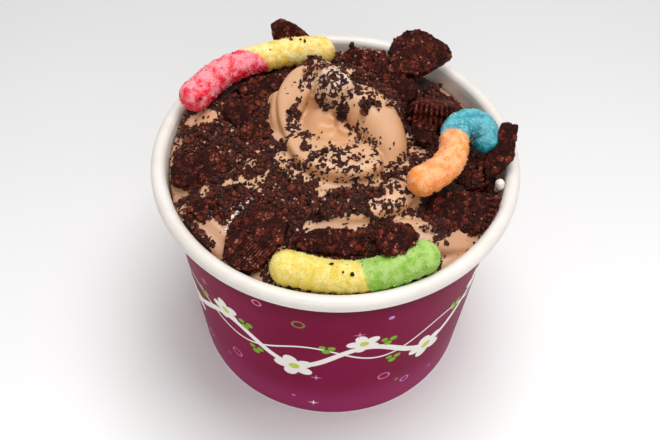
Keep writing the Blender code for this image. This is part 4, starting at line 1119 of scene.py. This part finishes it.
def paintWorm(name, spec):
    paint = Paint(name + "Gummy", Subsurface_Weight=0.3, Subsurface_Scale=0.0025,
                  Subsurface_Radius=(1.0, 0.6, 0.4), Specular_IOR_Level=0.4)
    gummy, frost = wormColours(paint, spec)
    grains, patches = paint.noise(0.45, 3, 0.7), paint.noise(3.0, 4, 0.6)
    # where the sugar frost shows: random patches and grain of sugar, plus a painted highlight on
    # the top, which faces up
    sugarAndTopLight = grains * 0.35 + patches * 1.15 + paint.attribute("top") * 0.18
    sugarAndTopLight = sugarAndTopLight.between(0.76, 1.04)
    normal = paint.bump(paint.cells(0.42), 0.16, 0.5, paint.bump(grains, 0.32, 0.8))
    return paint.finish((sugarAndTopLight * spec["frostCover"]).blend(gummy, frost), sugarAndTopLight * 0.25 + 0.40,
                        normal)


def paintSugar(name, spec):
    paint = Paint(name + "Sugar", Specular_IOR_Level=0.5)
    gummy, frost = wormColours(paint, spec)
    tint = paint.attribute("tint")
    colour = tint.between(0.0, 0.6).blend(gummy, frost)
    grain = paint.noise(0.12, 2)
    return paint.finish(tint.between(0.7, 1.0).blend(colour, srgb(254, 246, 236)),
                        grain * 0.04 + 0.20, paint.bump(grain, 0.03, 0.4))


def buildWorm(name, spec):
    # a ringed strand with blunt ends: its radius swells with the cosine of the way along, and is
    # a little less underneath
    def ringed(angle, along):
        rib = np.cos(along * math.tau * wormShape["ribs"])
        under = smoothStep(0.1, -0.9, np.sin(angle))
        top, more = wormShape["ribShare"]
        ribDepth = wormShape["ribDepth"] * rib * (top + more * under)
        return 1 + ribDepth - wormShape["flat"] * under

    steps = wormShape["steps"]
    line = splineThrough(spec["path"], steps)
    radius = wormShape["radius"] * splineThrough(spec["girths"], steps)[:, 0]
    points, faces, along = strandSurface(line, radius, radius, wormShape["columns"], ringed)
    piece = newPiece(name.title().replace("_", "").replace("W", "w", 1), points, faces,
                     "gummy" + name[4:], [paintWorm(name, spec)], [name])
    points, normals = pointsOf(piece.data), normalsOf(piece.data)
    depth, size = wormShape["dents"]
    points = points + normals * (depth * roughNoise(points, size, 3, 7))[:, None]
    setPoints(piece.data, points)
    # across: -1 to 1 over the worm's width, for the slant of the seam
    nearest = np.clip((along * (steps - 1)).astype(int), 0, steps - 1)
    across = (points - line[nearest]) @ np.array([0.0, 1.0, 0.0]) / wormShape["radius"]
    # top: how much the skin faces up, for the painted highlight on the worm's top
    addValues(piece, along=along, across=across, top=smoothStep(-0.4, 0.9, normals[:, 2]))
    return piece, along, across


def buildSugar(piece, along, across, name, spec, seed):
    # sugar crystals: tiny cubes standing on the worm's skin
    rng = np.random.default_rng(seed)
    points, normals = pointsOf(piece.data), normalsOf(piece.data)
    pick = rng.choice(np.flatnonzero(normals[:, 2] > sugar["slope"]), sugar["perWorm"])
    size = rng.uniform(*sugar["size"], len(pick))
    place = points[pick] + normals[pick] * (size * sugar["sink"])[:, None]
    place = place + rng.normal(0, sugar["spread"], (len(pick), 3))
    grains = scattered(piece.name.replace("worm", "sugar"), place, size, "cube", rng,
                       "gummy" + name[4:], paintSugar(name, spec), sugar["flatten"],
                       sugar["jitter"])
    copies = len(grains.data.vertices) // len(pick)
    addValues(grains, along=np.repeat(along[pick], copies), across=np.repeat(across[pick], copies))


print("worms")
wormPieces = []
for wormIndex, (wormName, wormSpec) in enumerate(worms.items()):
    wormPiece, wormAlong, wormAcross = buildWorm(wormName, wormSpec)
    buildSugar(wormPiece, wormAlong, wormAcross, wormName, wormSpec, sugar["seed"] + wormIndex)
    wormPieces.append(wormPiece)


# crumbs: cookie dust, grit and larger bits lying on everything, each size one joined mesh

crumbs = {                      # onCookie and onWorm: the chance that a crumb stays there
    "dust": {"tries": 46000, "size": (0.17, 0.36), "solid": "octa", "seed": 21,
             "onCookie": 0.16, "onWorm": 0.004, "tintTop": 1.0},
    "grit": {"tries": 19000, "size": (0.32, 0.70), "solid": "icosa", "seed": 22,
             "onCookie": 0.14, "onWorm": 0.0, "tintTop": 1.0},
    "bits": {"tries": 2400, "size": (0.70, 1.50), "solid": "icosa", "seed": 23,
             "onCookie": 0.08, "onWorm": 0.0, "tintTop": 0.95},         # only small ones get the painted pale glint
}
crumbShape = {
    "flatten": (0.38, 1.05), "jitter": 0.30, "sink": 0.35, "fieldRadius": 51.2,
    "stray": (0.006, 0.02),     # the chance of a crumb where the share covered is over this
    "slide": (-0.1, 0.3),       # they slide off where the slope is less than this
    "bitsWhere": (0.62, 0.93),  # the larger bits lie where the share covered is this high
    "mostlySmall": 1.8,         # the power that makes most of them small
    "smallWhere": (0.5, 0.9, 0.28),         # smaller by this where the share covered is low
}
clumps = {
    "grains": 9, "spread": 0.62, "size": (0.45, 0.95), "proud": 0.55, "reach": 2.1,
    "above": 74, "sink": 0.4,
}
loneCrumbs = np.array([         # crumbs that stick to the worms: x, y and size
    (-15.6, 38.4, 1.0), (-11.1, 37.7, 0.9), (-12.6, 38.6, 0.5), (-42.0, 12.2, 0.8),
    (-39.8, 10.4, 0.7), (-41.2, 10.2, 0.8), (-0.3, -45.1, 0.8), (3.0, -47.3, 0.6),
    (5.4, -47.8, 0.6), (31.0, -10.6, 0.35), (-22.0, 33.4, 0.45), (-37.0, 22.0, 0.35),
])
smear = {                       # a streak of cream left on the broken edge of a cookie: x and y
    "line": [(-30.1, -32.4), (-29.2, -30.2), (-28.3, -28.0), (-26.8, -26.1), (-25.3, -24.2),
             (-23.9, -23.0)],
    "grains": 110, "spread": 0.5, "size": (0.22, 0.62), "flatten": (0.3, 1.1), "jitter": 0.3,
    "lift": 0.1, "seed": 31,
}
creamBit = {"voxel": 0.25, "swell": 0.25, "rough": 0.12, "roughSize": 1.1}
onYogurt, onCookie, onWorm = 0, 1, 2


def coverTree():
    # one search tree of all that crumbs can lie on, with each face's kind and share of crumbs
    points, faces, kinds, shares, first = [], [], [], [], 0
    carriers = [(yogurtPiece, onYogurt, 1.0)] + [(piece, onWorm, 1.0) for piece in wormPieces]
    carriers += [(piece, onCookie, crumbsOn.get(name, 1.0))
                 for name, piece in cookiePieces.items()]
    for piece, kind, share in carriers:
        mesh = piece.data
        mesh.calc_loop_triangles()
        corner = np.empty(len(mesh.loop_triangles) * 3, np.int32)
        mesh.loop_triangles.foreach_get("vertices", corner)
        points.append(pointsOf(mesh))
        faces.append(corner.reshape(-1, 3) + first)
        kinds.append(np.full(len(corner) // 3, kind))
        shares.append(np.full(len(corner) // 3, share))
        first += len(mesh.vertices)
    tree = BVHTree.FromPolygons(np.vstack(points).tolist(), np.vstack(faces).tolist())
    return tree, np.concatenate(kinds), np.concatenate(shares)


def dropped(carrier, x, y):
    # lets points fall from above: where each one lands, the slope, the kind and the share there
    tree, kinds, shares = carrier
    down, start, lowest = Vector((0, 0, -1)), 130, 68
    hits = [tree.ray_cast(Vector((a, b, start)), down) for a, b in zip(x, y)]
    hits = [hit for hit in hits if hit[0] is not None and hit[0].z > lowest]
    place, slope = (np.array([tuple(hit[k]) for hit in hits]) for k in range(2))
    face = np.array([hit[2] for hit in hits])
    return place, slope, kinds[face], shares[face]


def fusedCrumbs():
    # the CAD yogurt's own crumbs: its points that stand proud of the skin, gathered into heaps
    points = pointsOf(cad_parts["yogurt"].data)
    points = np.unique(points[points[:, 2] > clumps["above"]].round(2), axis=0)
    skin = yogurtPiece.data
    tree = BVHTree.FromPolygons(pointsOf(skin).tolist(),
                                [tuple(face.vertices) for face in skin.polygons])
    heaps = []
    for point in points:
        hit, normal, _, distance = tree.find_nearest(Vector(point))
        if distance <= clumps["proud"] or (Vector(point) - hit).dot(normal) <= 0:
            continue
        near = [heap for heap in heaps
                if np.linalg.norm(np.mean(heap, axis=0) - point) < clumps["reach"]]
        if near:
            near[0].append(point)
        else:
            heaps.append([point])
    return np.array([np.mean(heap, axis=0) - (0, 0, clumps["sink"])
                     for heap in heaps if len(heap) > 2])


def paintCrumb():
    paint = Paint("cookieCrumb", Specular_IOR_Level=0.18)
    grain, tint = paint.noise(0.5, 4, 0.65), paint.attribute("tint")
    colour = (tint * 0.75 + grain * 0.5).between(0.2, 1.1)
    colour = colour.blend(srgb(30, 10, 7), srgb(114, 50, 34))
    # painted glints: a pale band of the grain noise, and a few crumbs with the highest tint
    # painted pale all over
    colour = (grain.between(0.62, 0.72) * 0.4).blend(colour, srgb(186, 140, 120))
    colour = tint.between(0.962, 0.968).blend(colour, srgb(190, 148, 126))
    return paint.finish(colour, grain * 0.5 + 0.22, paint.bump(grain, 0.25, 0.7))


def stuckCrumbs(carrier, rng):
    # a clump of grains for each of the CAD's crumbs, and the lone ones on the worms
    place, slope = dropped(carrier, loneCrumbs[:, 0], loneCrumbs[:, 1])[:2]
    heaps = np.repeat(fusedCrumbs(), clumps["grains"], axis=0)
    heaps = heaps + rng.normal(0, clumps["spread"], (len(heaps), 3))
    size = np.concatenate([loneCrumbs[:, 2], rng.uniform(*clumps["size"], len(heaps))])
    return np.vstack([place, heaps]), np.vstack([slope, np.zeros((len(heaps), 3))]), size


def buildCrumbs(carrier, name, spec, material):
    # random places in the tub, each kept by the cover there, the slope and what it falls on
    rng = np.random.default_rng(spec["seed"])
    turn = rng.uniform(0, math.tau, spec["tries"])
    reach = crumbShape["fieldRadius"] * np.sqrt(rng.random(spec["tries"]))
    place, slope, kind, share = dropped(carrier, reach * np.cos(turn), reach * np.sin(turn))
    cover = crumbCover(place)
    heaps = crumbHeaps(place, cover)
    if name == "bits":
        heaps *= smoothStep(*crumbShape["bitsWhere"], cover)
    chance = np.where(kind == onCookie, spec["onCookie"] * share, spec["onWorm"])
    stray, least = crumbShape["stray"]
    chance = np.where(kind == onYogurt, heaps + stray * (cover > least), chance)
    chance *= smoothStep(*crumbShape["slide"], slope[:, 2])
    kept = rng.random(len(place)) < chance
    place, slope = place[kept], slope[kept]
    low, high = spec["size"]
    size = low + (high - low) * rng.random(len(place)) ** crumbShape["mostlySmall"]
    start, end, less = crumbShape["smallWhere"]
    size = size * (1 - less + less * smoothStep(start, end, cover[kept]))
    if name == "grit":
        stuck = stuckCrumbs(carrier, rng)
        place, slope = np.vstack([place, stuck[0]]), np.vstack([slope, stuck[1]])
        size = np.concatenate([size, stuck[2]])
    place = place + slope * (size * crumbShape["sink"])[:, None]
    scattered("cookie" + name.capitalize(), place, size, spec["solid"], rng, "cookie", material,
              crumbShape["flatten"], crumbShape["jitter"], spec["tintTop"])


def buildSmear(carrier):
    # the streak of cream: pale flakes along a line
    rng = np.random.default_rng(smear["seed"])
    line = splineThrough(smear["line"], smear["grains"])
    line = line + rng.normal(0, smear["spread"], (smear["grains"], 2))
    place, slope = dropped(carrier, line[:, 0], line[:, 1])[:2]
    size = rng.uniform(*smear["size"], len(place))
    scattered("creamSmear", place + slope * smear["lift"], size, "icosa", rng, "filling",
              creamPaint, smear["flatten"], smear["jitter"])


def paintCream():
    paint = Paint("creamFilling", Specular_IOR_Level=0.4)
    grain = paint.noise(0.6, 4, 0.6)
    colour = grain.between(0.35, 0.65).blend(srgb(226, 214, 200), srgb(250, 246, 240))
    return paint.finish(colour, grain * 0.2 + 0.45, paint.bump(grain, 0.15, 0.6))


def buildCream():
    # the loose bit of cream: its solid swollen and roughened a little
    piece = mergedCopy("cream_bit", "creamBit")
    modified(piece, "REMESH", mode="VOXEL", voxel_size=creamBit["voxel"] * mm)
    points, normals = pointsOf(piece.data), normalsOf(piece.data)
    rough = creamBit["rough"] * roughNoise(points, creamBit["roughSize"], 3, 4)
    move = creamBit["swell"] + rough
    setPoints(piece.data, points + normals * move[:, None])
    dress(piece, [creamPaint], ["cream_bit"])


print("crumbs")
creamPaint = paintCream()
buildCream()
crumbCarrier = coverTree()
crumbPaint = paintCrumb()
for crumbName, crumbSpec in crumbs.items():
    buildCrumbs(crumbCarrier, crumbName, crumbSpec, crumbPaint)
buildSmear(crumbCarrier)


# floor, light and camera

stage = {
    "lens": 49.09, "sensor": 36.0, "distance": 273.8, "elevation": 46.79, "roll": 1.59,
    "aim": (-1.25, 0.0, 46.67), "pivotHeight": 80.0,
    "floorHalf": 3000.0, "farFloor": (0.725, 0.725, 0.725), "nearFloor": (0.93, 0.93, 0.93),
    "floorFade": (-190, 110),   # painted light: the floor is painted paler between these distances to the front
    "worldColour": (1.0, 0.99, 0.98, 1), "worldStrength": 0.45,
    "lightTarget": (0, 0, 70),
}
softboxes = {                   # place, width, height and power
    "keySoftbox": ((65, 60, 615), 370, 290, 2.6),
    "frontSoftbox": ((60, -540, 430), 420, 240, 0.85),
    "leftStrip": ((-520, -60, 220), 120, 420, 0.10),
    "rightStrip": ((520, -120, 260), 120, 420, 0.24),
}


def placed(name, data):
    made = bpy.data.objects.new(name, data)
    bpy.context.scene.collection.objects.link(made)
    return made


def buildFloor():
    # a paper floor painted a little paler towards the front, as painted light
    half = stage["floorHalf"] * mm
    mesh = bpy.data.meshes.new("floor")
    mesh.from_pydata([(-half, -half, 0), (half, -half, 0), (half, half, 0), (-half, half, 0)],
                     [], [(0, 1, 2, 3)])
    paint = Paint("paleFloor", Specular_IOR_Level=0.2)
    y = paint.parts(paint.place)[1]
    near = (y * -1).between(*stage["floorFade"])
    fibre = paint.noise(1.6, 3)
    mesh.materials.append(paint.finish(near.blend(stage["farFloor"], stage["nearFloor"]),
                                       fibre * 0.04 + 0.68, paint.bump(fibre, 0.01, 0.1)))
    placed("floor", mesh)


def buildLights():
    world = bpy.data.worlds.new("studio")
    bpy.context.scene.world = world
    world.use_nodes = True
    background = world.node_tree.nodes["Background"]
    background.inputs["Color"].default_value = stage["worldColour"]
    background.inputs["Strength"].default_value = stage["worldStrength"]
    for name, (place, width, height, power) in softboxes.items():
        light = bpy.data.lights.new(name, "AREA")
        light.shape = "RECTANGLE"
        light.size, light.size_y, light.energy = width * mm, height * mm, power
        lamp = placed(name, light)
        lamp.location = Vector(place) * mm
        towards = Vector(stage["lightTarget"]) * mm - lamp.location
        lamp.rotation_euler = towards.to_track_quat("-Z", "Y").to_euler()


def buildCamera():
    # on a circle about the pivot, aimed below it, and rolled a little
    elevation, roll = math.radians(stage["elevation"]), math.radians(stage["roll"])
    place = Vector((0, -stage["distance"] * math.cos(elevation),
                    stage["pivotHeight"] + stage["distance"] * math.sin(elevation)))
    ahead = (Vector(stage["aim"]) - place).normalized()
    level = ahead.cross(Vector((0, 0, 1))).normalized()
    upright = level.cross(ahead)
    right = math.cos(roll) * level + math.sin(roll) * upright
    over = math.cos(roll) * upright - math.sin(roll) * level
    lens = bpy.data.cameras.new("camera")
    lens.lens, lens.sensor_width = stage["lens"], stage["sensor"]
    camera = placed("camera", lens)
    pose = Matrix((right, over, -ahead)).transposed().to_4x4()
    pose.translation = place * mm
    camera.matrix_world = pose
    bpy.context.scene.camera = camera
    bpy.context.scene.view_settings.view_transform = "Standard"


print("stage")
buildFloor()
buildLights()
buildCamera()
